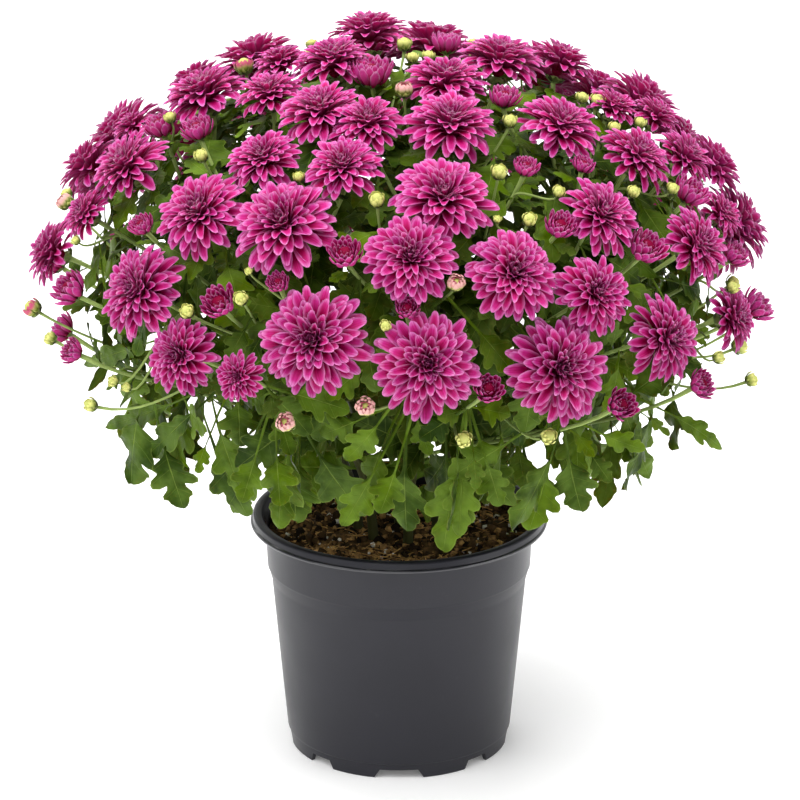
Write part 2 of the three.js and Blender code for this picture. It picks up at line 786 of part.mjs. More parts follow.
/** One leafy stem: its own shoot, a stalk to each bloom, half-open bloom and bud, and its leaves. */
function growStem(number, sprouts, blooms, fringe) {
  const shoot = shootJoints(number);
  const solids = [
    solidOf(stalkGeometry({ joints: shoot, radii: STEM.radii, sides: 4, facing: placeOn(shoot, 1).along })),
  ];
  const stalks = [];
  const taken = placesAlong(shoot, 30);
  const own = sprouts.filter(({ point }) => stemNumberOf(point) === number);
  own.sort((a, b) => a.point.z - b.point.z);

  /** A stalk to a sprout from a curve that carries it. */
  const grow = (sprout, carrier, share) => {
    const { depth, radius, head, top, sides } = endOf(sprout);
    const tip = plus(sprout.point, sprout.facing, -depth);
    const joints = [placeOn(carrier, share).root, tip];
    const geometry = (spare) =>
      stalkGeometry({
        joints,
        radii: [radius + spare, radius + spare],
        sides,
        facing: sprout.facing,
        head: head.map((ring) => ({ ...ring, radius: ring.radius + spare })),
        top: top + spare,
      });
    solids.push(solidOf(geometry(0)));
    stalks.push({ sprout, joints, clearance: geometry(STEM.clearance), buds: 0 });
    taken.push(...placesAlong(joints, 14));
  };
  const carried = own.filter(({ kind }) => kind !== "bud");
  carried.forEach((sprout, rank) => {
    grow(sprout, shoot, between(STEM.branching, (rank + 0.5) / carried.length));
  });
  const carriers = [...stalks];
  for (const bud of own.filter(({ kind }) => kind === "bud")) {
    const distance = ({ sprout }) => sprout.point.distanceTo(bud.point);
    const [carrier] = carriers
      .filter(({ buds }) => buds < STEM.budShares.length)
      .sort((a, b) => distance(a) - distance(b));
    grow(bud, carrier.joints, STEM.budShares[carrier.buds]);
    carrier.buds += 1;
  }

  /** Adds a leaf if there is room for it. */
  const addLeaf = (leaf) => {
    const blade = putLeaf(leaf);
    const corners = cornersOf(blade);
    if (!leafIsClear(corners, number, blooms, taken)) return false;
    taken.push(...corners);
    solids.push(solidOf(blade));
    return true;
  };
  const leafRoots = [shoot, ...carriers.map(({ joints }) => joints)].flatMap((carrier) =>
    LEAF.fringeShares.map((share) => placeOn(carrier, share).root),
  );
  for (const { root, tip, upper, width } of fringe) {
    if (stemNumberOf(root) !== number) continue;
    const [from] = [...leafRoots].sort((a, b) => a.distanceTo(root) - b.distanceTo(root));
    const [bare, blade] = [from.distanceTo(root), root.distanceTo(tip)];
    const along = tip.clone().sub(from);
    addLeaf({ root: from, along, upper, length: along.length(), width, bare: bare / (bare + blade) });
  }

  const chance = seeded(number + 1);
  const low = carriers.filter(({ sprout }) => sprout.point.z < LEAF.highest);
  const places = [
    ...LEAF.shootShares.map((share) => ({ ...placeOn(shoot, share), size: LEAF.shootLength })),
    ...low.map(({ joints }) => ({ ...placeOn(joints, LEAF.stalkShare), size: LEAF.stalkLength })),
  ];
  places.forEach(({ root, along, size }, place) => {
    const side = new THREE.Vector3().crossVectors(along, UP).normalize();
    const upper = crownOutward(root).add(UP);
    let length = between(size, chance());
    for (let trial = 0; trial < LEAF.tries; trial++) {
      const way = side.clone().applyAxisAngle(along, (place + trial) * GOLDEN_ANGLE);
      const direction = along.clone().multiplyScalar(LEAF.lean).add(way);
      if (addLeaf({ root, along: direction, upper, length, width: length * LEAF.breadth })) return;
      length *= LEAF.shrink;
    }
  });
  return { solid: wasm.Manifold.union(solids), stalks, foot: shoot[0] };
}

// ----------------------------------------------------------------------------------------------- the plant

const materials = {
  pot: new THREE.MeshStandardMaterial({ color: 0x3d3d42, roughness: 0.45, metalness: 0 }),
  soil: new THREE.MeshStandardMaterial({ color: 0x3a281a, roughness: 1, metalness: 0 }),
  foliage: new THREE.MeshStandardMaterial({ color: 0x4b7a2b, roughness: 0.6, metalness: 0 }),
  petal: new THREE.MeshStandardMaterial({ color: 0xb5368c, roughness: 0.7, metalness: 0 }),
};

const sprouts = layOutSprouts();
const fringe = layOutFringe();
const blooms = sprouts.filter(({ kind }) => kind === "bloom");
const stems = Array.from({ length: STEM.count + 1 }, (_, i) => growStem(i, sprouts, blooms, fringe));

const plant = new THREE.Group();
plant.add(makePot(materials.pot), makeSoil(stems, materials.soil));
stems.forEach(({ solid }, number) => plant.add(meshOf("leafy_stem_" + number, solid, materials.foliage)));
plant.add(...makeBlooms(blooms, stems.flatMap(({ stalks }) => stalks), materials.petal));

const middle = new THREE.Box3().setFromObject(plant).getCenter(new THREE.Vector3());
plant.position.set(-middle.x, -middle.y, 0);

export default plant;
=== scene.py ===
"""A pot chrysanthemum in bloom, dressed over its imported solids.

The plant is laid out once more by the rules that its solids follow, in millimetres round the pot's axis,
and each solid is replaced by finer pieces in its place: petals, leaves, stalks, buds, crumbs of soil and
a smooth pot. Points turn into the frame's metres only when a piece's mesh is made.
"""

import logging
import math
from dataclasses import dataclass, field
from enum import Enum

import bpy
import numpy as np
from bpy.types import ID, Material, Mesh, Node, NodeInputs, NodeOutputs, NodeSocket, NodeTree, Object
from numpy.linalg import norm
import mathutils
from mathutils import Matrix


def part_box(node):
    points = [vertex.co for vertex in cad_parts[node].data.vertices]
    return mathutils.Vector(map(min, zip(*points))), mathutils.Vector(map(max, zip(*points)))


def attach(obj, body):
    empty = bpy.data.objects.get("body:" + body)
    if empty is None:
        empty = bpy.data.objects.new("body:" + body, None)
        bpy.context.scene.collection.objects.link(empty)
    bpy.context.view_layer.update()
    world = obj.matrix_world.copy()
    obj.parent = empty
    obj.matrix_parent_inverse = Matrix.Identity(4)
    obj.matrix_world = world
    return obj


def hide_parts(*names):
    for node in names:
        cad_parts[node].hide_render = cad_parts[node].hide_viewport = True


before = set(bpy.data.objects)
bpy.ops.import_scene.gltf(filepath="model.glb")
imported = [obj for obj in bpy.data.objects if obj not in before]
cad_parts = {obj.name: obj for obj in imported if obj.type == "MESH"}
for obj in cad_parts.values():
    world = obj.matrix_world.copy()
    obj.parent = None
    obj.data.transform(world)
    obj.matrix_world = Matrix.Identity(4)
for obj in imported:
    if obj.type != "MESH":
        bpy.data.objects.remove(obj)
log = logging.getLogger("chrysanthemum")

Vector = np.ndarray
Colour = tuple[float, float, float]
Faces = list[list[int]]
Row = tuple[float, ...]
Span = tuple[float, float]
Outline = list[Span]

MM = 0.001
GOLDEN_ANGLE = math.pi * (3 - math.sqrt(5))
UP = np.array([0.0, 0.0, 1.0])
SEAT_GAP = 0.3
FULL_TURN = 6.28
BODY = "root"


# ---- small arithmetic ----


def unit(vector: Vector) -> Vector:
    """A vector, or each row of several, at length one."""
    return vector / np.maximum(norm(vector, axis=-1, keepdims=True), 1e-12)


def lerp(low: float, high: float, share: float) -> float:
    """The value at a share of the way from low to high."""
    return low + (high - low) * share


def smooth(low: float, high: float, value: float) -> float:
    """A soft step from 0 at low to 1 at high."""
    share = np.clip((value - low) / (high - low), 0.0, 1.0)
    return share * share * (3 - 2 * share)


def polar(radius: float, angle: float, z: float) -> Vector:
    """The point at a radius and angle round the axis, at a height."""
    return np.array([radius * math.cos(angle), radius * math.sin(angle), z])


def turned_about(vector: Vector, axis: Vector, angle: float) -> Vector:
    """A vector turned about a direction of length one, by an angle in radians."""
    cosine, sine = math.cos(angle), math.sin(angle)
    return vector * cosine + np.cross(axis, vector) * sine + axis * (axis @ vector) * (1 - cosine)


def basis_round(facing: Vector, roll: float = 0.0) -> Vector:
    """Three axes, of which the third is the facing.

    Args:
        facing: a direction of length one.
        roll: how far the other two are turned about it.

    Returns:
        A matrix with the axes as its rows.
    """
    across = unit(np.cross(UP if abs(facing[2]) < 0.95 else np.array([1.0, 0.0, 0.0]), facing))
    across = turned_about(across, facing, roll)
    return np.array([across, np.cross(facing, across), facing])


@dataclass
class Chance:
    """A seeded source of numbers, the same on every run."""

    state: int

    def draw(self) -> float:
        """The next number from 0 to 1."""
        self.state = (1664525 * self.state + 1013904223) % 4294967296
        return self.state / 4294967296

    def between(self, low: float, high: float) -> float:
        """The next number from low to high."""
        return lerp(low, high, self.draw())

    def about(self, spread: float) -> float:
        """The next number from -spread to spread."""
        return self.between(-spread, spread)


# ---- the plant's own plan ----

# Open blooms of the front: (across, up, diameter) on an upright board through the pot's axis, in
# millimetres, as they are seen from the crown's standpoint.
FRONT_BLOOMS = [
    (-17, 444, 49), (-38, 427, 47), (-69, 427, 34), (59, 428, 50), (27, 415, 47), (94, 427, 44),
    (-76, 408, 38), (-114, 408, 49), (-46, 397, 47), (-18, 390, 42), (30, 389, 51), (95, 388, 47),
    (125, 400, 32), (151, 394, 33), (140, 370, 42), (168, 370, 39), (190, 335, 31), (119, 334, 45),
    (176, 315, 44), (-156, 389, 27), (-160, 364, 48), (-117, 335, 51), (-185, 335, 32), (-206, 312, 41),
    (-33, 363, 43), (-80, 368, 41), (26, 344, 54), (7, 307, 50), (-68, 328, 57), (68, 298, 50),
    (116, 285, 43), (159, 257, 46), (199, 270, 37), (-51, 256, 57), (17, 241, 55), (96, 238, 57),
    (-154, 287, 50), (-130, 246, 42), (-96, 233, 28),
]

# Half-open blooms of the front, in the same way.
FRONT_CUPS = [
    (-16, 424, 24), (-119, 389, 18), (-141, 391, 19), (-153, 329, 14), (28, 441, 19), (62, 408, 17),
    (96, 329, 17), (174, 350, 20), (148, 316, 21), (201, 311, 16), (-32, 312, 18), (216, 279, 20),
    (-108, 281, 19), (-198, 290, 21), (54, 226, 16), (135, 216, 17), (183, 229, 16), (-197, 250, 15),
    (5, 277, 13), (109, 366, 12), (75, 365, 14), (-72, 293, 12),
]

# Buds of the front, in the same way.
FRONT_BUDS = [
    (-90, 424, 12), (3, 437, 10), (3, 410, 11), (65, 391, 9), (59, 360, 10), (77, 331, 9), (-13, 343, 10),
    (-116, 370, 9), (-197, 342, 11), (116, 403, 10), (-218, 276, 12), (-208, 257, 9), (-185, 215, 9),
    (-126, 274, 9), (-94, 282, 9), (34, 292, 11), (39, 193, 10), (-20, 214, 12), (-68, 204, 12),
    (90, 195, 10), (211, 231, 9),
]

# Buds that are too small to be solids, in the same way.
SMALL_BUDS = [
    (17, 430, 8), (8, 429, 8), (-59, 357, 7), (-134, 393, 8), (107, 405, 8), (126, 387, 8), (141, 390, 8),
    (138, 348, 8), (161, 350, 8), (94, 348, 8), (-171, 230, 7), (-8, 265, 7), (191, 245, 8), (198, 289, 8),
    (58, 331, 5), (-191, 318, 6), (-163, 226, 6), (-89, 299, 5),
]

# Leaves that hang below the blooms in front: (tip across, tip up, root across, root up, width).
FRONT_LEAVES = [
    (-209, 236, -184, 237, 14), (-182, 191, -164, 203, 15), (-162, 176, -131, 189, 16),
    (-125, 174, -120, 185, 13), (-119, 136, -114, 175, 29), (-97, 150, -94, 175, 20),
    (-74, 151, -60, 180, 28), (-33, 131, -32, 159, 20), (-9, 144, -22, 167, 22), (25, 117, 13, 165, 30),
    (38, 127, 44, 164, 21), (49, 165, 20, 167, 13), (61, 149, 56, 173, 20), (82, 132, 89, 167, 27),
    (108, 143, 104, 177, 30), (146, 180, 119, 188, 17), (155, 155, 137, 181, 24), (128, 166, 124, 181, 14),
    (205, 190, 171, 197, 15),
]


class Kind(Enum):
    """What ends a stalk."""

    BLOOM = "bloom"
    CUP = "half-open bloom"
    BUD = "bud"


class Tint(Enum):
    """The colour that a bud shows, as its place from green to open pink."""

    GREEN = 0.0
    PALE = 0.5
    PINK = 0.75


# Buds of the front that show their first pink or are pale pink all over, by (across, up).
BUD_TINTS = {(-90, 424): Tint.PINK, (-218, 276): Tint.PINK} | dict.fromkeys(
    [(-20, 214), (-68, 204), (34, 292), (3, 410), (-197, 342)], Tint.PALE
)


@dataclass
class Sprout:
    """A bloom, half-open bloom or bud on the crown."""

    kind: Kind
    point: Vector
    facing: Vector
    diameter: float
    tint: Tint = Tint.GREEN

    # How far behind it its stalk ends, in diameters.
    BEHIND = {Kind.BLOOM: 0.31, Kind.CUP: 0.55, Kind.BUD: 0.45}

    # How strongly it turns up below and above two levels.
    LIFT = {Kind.BLOOM: (0.34, 0), Kind.CUP: (0.8, 0.45), Kind.BUD: (0.8, 0.3)}
    LEVELS = (290, 375)

    def back(self) -> Vector:
        """The place where its stalk ends, behind it."""
        gap = SEAT_GAP if self.kind is Kind.BLOOM else 0.0
        return self.point - self.facing * (self.BEHIND[self.kind] * self.diameter + gap)

    def lift(self) -> None:
        """Turns it up towards the light, most where it grows low on the crown."""
        lift = lerp(*self.LIFT[self.kind], smooth(*self.LEVELS, self.point[2]))
        self.facing = unit(self.facing + UP * lift)


@dataclass(frozen=True)
class Crown:
    """The form of the dome: one ellipsoid above its widest level and a deeper one below."""

    widest: float = 302
    radius: float = 208
    rise: float = 130
    drop: float = 185
    standpoint: Row = (0, -2200, 980)

    def half_height(self, z: float) -> float:
        """The half height of the ellipsoid that holds a level."""
        return self.rise if z > self.widest else self.drop

    def covering(self, across: float, up: float) -> Vector:
        """The crown's surface where it covers a place on the board.

        Args:
            across: the place's distance to the right of the pot's axis.
            up: its height.

        Returns:
            The point, or the one nearest to the crown where the line of sight passes it.
        """
        start = np.array(self.standpoint, float)
        along = np.array([across, 0.0, up]) - start
        for height in (self.drop, self.rise):
            squash = np.array([1 / self.radius, 1 / self.radius, 1 / height])
            origin, way = (start - UP * self.widest) * squash, along * squash
            a, b, c = way @ way, 2 * (origin @ way), origin @ origin - 1
            root = b * b - 4 * a * c
            share = (-b - math.sqrt(root)) / (2 * a) if root > 0 else -b / (2 * a)
            point = start + along * share
            if point[2] <= self.widest:
                break
        return point

    def outward(self, point: Vector) -> Vector:
        """The outward direction at a point on or near the crown."""
        half = np.array([self.radius, self.radius, self.half_height(point[2])])
        return unit((point - UP * self.widest) / half**2)

    def reach(self, point: Vector) -> float:
        """How far out a point is, where 1 is on the crown's surface."""
        height = self.half_height(point[2])
        return math.hypot(math.hypot(point[0], point[1]) / self.radius, (point[2] - self.widest) / height)

    def onto(self, point: Vector) -> Vector:
        """The crown's surface on the way out through a point."""
        level = UP * self.widest
        return level + (point - level) / self.reach(point)

    def at(self, angle: float, z: float) -> Vector:
        """The crown's surface at an angle round the axis and a height."""
        height = self.half_height(z)
        return polar(self.radius * math.sqrt(1 - ((z - self.widest) / height) ** 2), angle, z)

    def faces_away(self, point: Vector) -> bool:
        """Whether the crown's surface looks away from the standpoint."""
        return self.outward(point) @ (np.array(self.standpoint, float) - point) < 0


CROWN = Crown()


@dataclass(frozen=True)
class BackRule:
    """How the back of the dome is filled, in bunches of two or three blooms, by a source of numbers."""

    chance: Chance
    trials: int = 200
    gap_trials: int = 400
    bunches: int = 12
    highest: float = 0.97
    lowest: float = 296
    main_diameter: Span = (49, 56)
    side_diameter: Span = (40, 47)
    sides: int = 9
    overlap: float = 0.84
    apart: float = 1.1
    clearance: float = 3

    def sprout(self, kind: Kind, point: Vector, diameter: float) -> Sprout:
        """A sprout of the back at a point of the crown."""
        return Sprout(kind, point, CROWN.outward(point), diameter)

    def has_room(self, point: Vector, diameter: float, others: list[Sprout]) -> bool:
        """Whether a new sprout keeps its distance from all the others."""
        least = [(other.diameter + diameter) / 2 + self.clearance for other in others]
        return all(norm(other.point - point) > room for other, room in zip(others, least))

    def side_blooms(self, main: Sprout, angle: float, others: list[Sprout]) -> list[Sprout]:
        """The blooms that join a main bloom in its bunch.

        Args:
            main: the bloom in the bunch's middle.
            angle: where round it the first place is tried.
            others: what the new ones keep clear of.

        Returns:
            Up to two blooms, beside the main one and apart from each other.
        """
        across = unit(np.cross(main.facing, UP))
        over = unit(np.cross(across, main.facing))
        joined: list[Sprout] = []
        for k in range(self.sides):
            if len(joined) == 2:
                break
            diameter = self.chance.between(*self.side_diameter)
            distance = (main.diameter + diameter) / 2 * self.overlap
            turn = angle + k * math.tau / self.sides
            beside = main.point + (across * math.cos(turn) + over * math.sin(turn)) * distance
            point = CROWN.onto(beside)
            apart = all(norm(other.point - point) > diameter * self.apart for other in joined)
            if point[2] < self.lowest or not CROWN.faces_away(point) or not apart:
                continue
            if self.has_room(point, diameter, others):
                joined.append(self.sprout(Kind.BLOOM, point, diameter))
        return joined

    def blooms(self, others: list[Sprout]) -> list[Sprout]:
        """The blooms of the back's bunches, down from the crown's top.

        Args:
            others: what they keep clear of.

        Returns:
            The blooms, bunch by bunch.
        """
        made: list[Sprout] = []
        top = CROWN.widest + CROWN.rise * self.highest
        bunches = 0
        for i in range(self.trials):
            if bunches == self.bunches:
                break
            angle = i * GOLDEN_ANGLE
            point = CROWN.at(angle, lerp(top, self.lowest, (i + 0.5) / self.trials))
            main = self.sprout(Kind.BLOOM, point, self.chance.between(*self.main_diameter))
            if not CROWN.faces_away(point) or not self.has_room(point, main.diameter, others + made):
                continue
            sides = self.side_blooms(main, angle, others + made)
            if sides:
                made += [main, *sides]
                bunches += 1
        return made

    def gaps(
        self, kind: Kind, count: int, diameter: Span, lowest: float, others: list[Sprout]
    ) -> list[Sprout]:
        """Half-open blooms or buds in the gaps of the back.

        Args:
            kind: what is placed.
            count: how many are placed at most.
            diameter: their smallest and largest diameter.
            lowest: the lowest place tried.
            others: what they keep clear of.

        Returns:
            The sprouts that found room.
        """
        made: list[Sprout] = []
        top = CROWN.widest + CROWN.rise * self.highest
        for _ in range(self.gap_trials):
            if len(made) == count:
                break
            z = lerp(top, lowest, self.chance.draw())
            point = CROWN.at(self.chance.draw() * math.tau, z)
            sprout = self.sprout(kind, point, self.chance.between(*diameter))
            if CROWN.faces_away(point) and self.has_room(point, sprout.diameter, others + made):
                made.append(sprout)
        return made


def front_sprouts(kind: Kind, places: list[tuple[int, int, int]]) -> list[Sprout]:
    """The sprouts of one list of the front.

    Args:
        kind: what they are.
        places: where they are on the board, and their diameters.

    Returns:
        A sprout for each place.
    """
    made = []
    for across, up, diameter in places:
        point = CROWN.covering(across, up)
        tint = BUD_TINTS.get((across, up), Tint.GREEN)
        made.append(Sprout(kind, point, CROWN.outward(point), diameter, tint))
    return made


def lay_out_sprouts() -> list[Sprout]:
    """Everything that ends a stalk and is a solid too.

    Returns:
        The sprouts of the front, then those of the back.
    """
    rule = BackRule(Chance(20))
    sprouts = front_sprouts(Kind.BLOOM, FRONT_BLOOMS)
    sprouts += front_sprouts(Kind.CUP, FRONT_CUPS) + front_sprouts(Kind.BUD, FRONT_BUDS)
    sprouts += rule.blooms(sprouts)
    sprouts += rule.gaps(Kind.CUP, count=6, diameter=(15, 21), lowest=262, others=sprouts)
    return sprouts + rule.gaps(Kind.BUD, count=10, diameter=(8, 12), lowest=225, others=sprouts)


@dataclass
class HangingLeaf:
    """A leaf whose blade has its own place below the blooms."""

    root: Vector
    tip: Vector
    upper: Vector
    width: float


def lay_out_fringe() -> list[HangingLeaf]:
    """The leaves that hang below the blooms.

    Returns:
        Those of the front, and every other one again behind, turned half round.
    """
    front, turn = [], np.array([-1.0, -1.0, 1.0])
    for tip_across, tip_up, root_across, root_up, width in FRONT_LEAVES:
        root, tip = CROWN.covering(root_across, root_up), CROWN.covering(tip_across, tip_up)
        front.append(HangingLeaf(root, tip, CROWN.outward(tip), width))
    back = [
        HangingLeaf(leaf.root * turn, leaf.tip * turn, leaf.upper * turn, leaf.width)
        for leaf in front[::2]
    ]
    return front + back


# ---- the way a stem grows ----


def place_on(joints: Vector, share: float) -> tuple[Vector, Vector]:
    """The place and the direction at a share of the way along a line of joints.

    Args:
        joints: the line's points.
        share: from 0 at its start to 1 at its end, counted in joints.

    Returns:
        The point there and the direction of the line.
    """
    steps = len(joints) - 1
    joint = min(steps - 1, math.floor(share * steps))
    start, end = joints[joint], joints[joint + 1]
    return start + (end - start) * (share * steps - joint), unit(end - start)


def places_along(joints: Vector, count: int) -> list[Vector]:
    """Evenly spread places along a line of joints."""
    return [place_on(joints, (i + 1) / count)[0] for i in range(count)]


@dataclass
class Leaf:
    """A leaf's place: it grows from its root along a direction, with its upper face to one side."""

    root: Vector
    along: Vector
    upper: Vector
    length: float
    width: float
    bare: float = 0.0

    ARCH = 0.14

    # Under which level its tip makes it a hanging leaf, and how far back it still turns to the front.
    HANGING, BACK = 215, 30

    def at(self, share: float) -> Vector:
        """The point at a share of the way to its tip, as if it were straight."""
        return self.root + unit(self.along) * self.length * share

    def face_out(self) -> None:
        """Turns its upper face up and outwards where it hangs low, as a leaf does towards the light."""
        tip = self.at(1)
        if tip[2] < self.HANGING:
            flat = unit(tip * np.array([1.0, 1.0, 0.0]))
            ahead = np.array([0.0, -1.0 if tip[1] < self.BACK else 1.0, 0.0])
            self.upper = 0.5 * flat + 0.9 * ahead + 0.55 * UP

    def axes(self) -> Vector:
        """The leaf's three axes as rows: along it, across it and out of its upper face."""
        along, across = unit(self.along), unit(np.cross(self.upper, unit(self.along)))
        return np.array([along, across, np.cross(along, across)])

    def corners(self) -> Vector:
        """The corners of the leaf's solid.

        Returns:
            Its edge's corners round from the root, and two on its midrib.
        """
        plain = [(0.36, 0.72), (0.47, 0.44), (0.7, 1.0), (0.77, 0.48)]
        stalked = [(0.0, 0.1), (0.36, 0.86), (0.5, 0.5), (0.74, 0.94)]
        lobes = stalked if self.bare > 0 else plain
        shares = [(x, -y) for x, y in lobes] + [(1.0, 0.0)] + [(x, y) for x, y in reversed(lobes)]
        shares += [(0.34, 0.0), (0.72, 0.0)]
        x, y = np.array(shares).T
        reach = self.bare + (1 - self.bare) * x
        local = np.stack([reach * self.length, y * self.width / 2, -self.ARCH * self.length * reach**2], 1)
        return self.root + local @ self.axes()


@dataclass
class Stalk:
    """A stalk from the line that carries it to what it carries."""

    sprout: Sprout
    joints: Vector
    carrier_along: Vector
    buds: int = 0


@dataclass
class StemPlan:
    """One leafy stem's lines and leaves, by the rule that its solid follows."""

    number: int
    blooms: list[Sprout]
    count: int = 7
    soil_level: float = 136
    soil_radius: float = 25
    hole_depth: float = 24
    centre_reach: float = 66
    centre_lowest: float = 285
    bud_shares: Row = (0.5, 0.62, 0.38)
    branching: Span = (0.44, 0.98)
    shoot: Vector = field(init=False)
    stalks: list[Stalk] = field(default_factory=list)
    leaves: list[Leaf] = field(default_factory=list)
    loose_leaves: list[Leaf] = field(default_factory=list)
    taken: list[Vector] = field(default_factory=list)

    COURSE = [(0, 141), (9, 180), (37, 232), (73, 286), (99, 330)]
    CENTRE_COURSE = [(0, 141), (2, 200), (-2, 260), (3, 320), (0, 374)]
    FRINGE_SHARES = (0.4, 0.5, 0.6, 0.75)
    POT_TOP = 148
    MARGIN = 1.2
    ELBOW_ROOM = 5.0

    # How many places of a shoot and of a stalk keep leaves away, and half a bloom's height in diameters.
    SHOOT_PLACES, STALK_PLACES = 30, 14
    BLOOM_HALF = 0.21

    # Leaves by rule: where they leave the shoot or a stalk and how long they are, how high a stalk with
    # one reaches, how they lean, how broad they are, and how they are tried again, each time shorter.
    SHOOT_SHARES, SHOOT_LEAF = (0.32, 0.42, 0.54, 0.7), (46, 58)
    STALK_SHARE, STALK_LEAF, HIGHEST = 0.72, (34, 44), 345
    LEAN, BREADTH, TRIES, SHRINK = 0.65, 0.72, 9, 0.96

    def __post_init__(self) -> None:
        """Works out the shoot's joints, from its foot in the soil into the crown."""
        course, start = (self.CENTRE_COURSE, 0.0) if self.number == 0 else (self.COURSE, self.soil_radius)
        joints = [(0, self.soil_level - self.hole_depth), *course]
        self.shoot = np.array([polar(start + spread, self.angle(), z) for spread, z in joints])

    def angle(self) -> float:
        """Where the stem stands, round the axis."""
        return (self.number - 0.5) * math.tau / self.count

    def carries(self, point: Vector) -> bool:
        """Shares out the crown among the stems.

        Args:
            point: a point of the crown.

        Returns:
            Whether this stem carries what grows there.
        """
        if math.hypot(point[0], point[1]) < self.centre_reach:
            return self.number == 0
        turn = math.atan2(point[1], point[0]) / math.tau
        return self.number == 1 + math.floor((turn - math.floor(turn)) * self.count)

    def within_space(self, points: Vector, margin: float) -> bool:
        """Whether points all lie inside the stem's own space.

        Args:
            points: the points.
            margin: how far inside they are to be.

        Returns:
            True where they all are.
        """
        radius = np.hypot(points[:, 0], points[:, 1])
        high = points[:, 2] > self.centre_lowest
        if self.number == 0:
            return bool(np.all(high & (radius < self.centre_reach - margin)))
        turn = np.arctan2(points[:, 1], points[:, 0]) - self.angle()
        off = np.abs(np.arctan2(np.sin(turn), np.cos(turn)))
        half = math.pi / self.count
        clear = ~high | (radius > self.centre_reach + margin)
        return bool(np.all((off < half) & (radius * np.sin(half - off) > margin) & clear))

    def grow_stalk(self, sprout: Sprout, carrier: Vector, share: float) -> None:
        """Adds a stalk.

        Args:
            sprout: what it carries.
            carrier: the line that it leaves.
            share: how far along that line it starts.
        """
        start, along = place_on(carrier, share)
        joints = np.array([start, sprout.back()])
        self.stalks.append(Stalk(sprout, joints, along))
        self.taken += places_along(joints, self.STALK_PLACES)

    def grow(self, sprouts: list[Sprout], fringe: list[HangingLeaf]) -> None:
        """Grows the stem's own share of the stalks, the hanging leaves and the others.

        Args:
            sprouts: everything that ends a stalk.
            fringe: the hanging leaves.
        """
        self.taken += places_along(self.shoot, self.SHOOT_PLACES)
        own = sorted((s for s in sprouts if self.carries(s.point)), key=lambda sprout: sprout.point[2])
        carried = [sprout for sprout in own if sprout.kind is not Kind.BUD]
        for rank, sprout in enumerate(carried):
            self.grow_stalk(sprout, self.shoot, lerp(*self.branching, (rank + 0.5) / len(carried)))
        carriers = list(self.stalks)
        for bud in (sprout for sprout in own if sprout.kind is Kind.BUD):
            free = [stalk for stalk in carriers if stalk.buds < len(self.bud_shares)]
            carrier = min(free, key=lambda stalk: norm(stalk.sprout.point - bud.point))
            self.grow_stalk(bud, carrier.joints, self.bud_shares[carrier.buds])
            carrier.buds += 1
        self.grow_fringe(carriers, fringe)
        self.grow_rule_leaves(carriers)

    def clear_of_blooms(self, points: Vector, margin: float) -> bool:
        """Whether points all keep out of the flat discs that the open blooms fill.

        Args:
            points: the points.
            margin: how far they keep away.

        Returns:
            True where they all do.
        """
        middles = np.array([bloom.point for bloom in self.blooms])
        facings = np.array([bloom.facing for bloom in self.blooms])
        widths = np.array([bloom.diameter for bloom in self.blooms])
        apart = points[:, None] - middles[None]
        rise = np.einsum("pbk,bk->pb", apart, facings)
        away = np.sqrt(np.maximum(0.0, np.einsum("pbk,pbk->pb", apart, apart) - rise**2))
        flat = np.abs(rise) <= self.BLOOM_HALF * widths + margin
        return not np.any(flat & (away <= widths / 2 + margin))

    def add_leaf(self, leaf: Leaf) -> bool:
        """Adds a leaf where its solid has room inside the stem's space.

        Args:
            leaf: the leaf.

        Returns:
            Whether it had room.
        """
        corners = leaf.corners()
        if not self.within_space(corners, self.MARGIN) or corners[:, 2].min() < self.POT_TOP + self.MARGIN:
            return False
        apart = norm(corners[:, None] - np.array(self.taken)[None], axis=2)
        if np.any(apart < self.ELBOW_ROOM) or not self.clear_of_blooms(corners, self.MARGIN):
            return False
        self.taken += list(corners)
        self.leaves.append(leaf)
        return True

    def grow_fringe(self, carriers: list[Stalk], fringe: list[HangingLeaf]) -> None:
        """Grows the hanging leaves that belong to this stem.

        Args:
            carriers: the stalks that a leaf may leave.
            fringe: all the hanging leaves.
        """
        lines = [self.shoot, *(stalk.joints for stalk in carriers)]
        roots = [place_on(line, share)[0] for line in lines for share in self.FRINGE_SHARES]
        for leaf in (leaf for leaf in fringe if self.carries(leaf.root)):
            start = min(roots, key=lambda root: norm(root - leaf.root))
            bare, blade = norm(start - leaf.root), norm(leaf.root - leaf.tip)
            along = leaf.tip - start
            length = float(norm(along))
            hanging = Leaf(start, along, leaf.upper, length, leaf.width, bare / (bare + blade))
            if not self.add_leaf(hanging):
                self.loose_leaves.append(hanging)

    def grow_rule_leaves(self, carriers: list[Stalk]) -> None:
        """Grows the leaves that are placed by rule.

        Args:
            carriers: the stalks, of which the low ones carry leaves as the shoot does.
        """
        chance = Chance(self.number + 1)
        places = [(*place_on(self.shoot, share), self.SHOOT_LEAF) for share in self.SHOOT_SHARES]
        low = [stalk for stalk in carriers if stalk.sprout.point[2] < self.HIGHEST]
        places += [(*place_on(stalk.joints, self.STALK_SHARE), self.STALK_LEAF) for stalk in low]
        for place, (root, along, size) in enumerate(places):
            side, upper = unit(np.cross(along, UP)), CROWN.outward(root) + UP
            length = chance.between(*size)
            for trial in range(self.TRIES):
                way = along * self.LEAN + turned_about(side, along, (place + trial) * GOLDEN_ANGLE)
                if self.add_leaf(Leaf(root, way, upper, length, length * self.BREADTH)):
                    break
                length *= self.SHRINK


# ---- making meshes ----


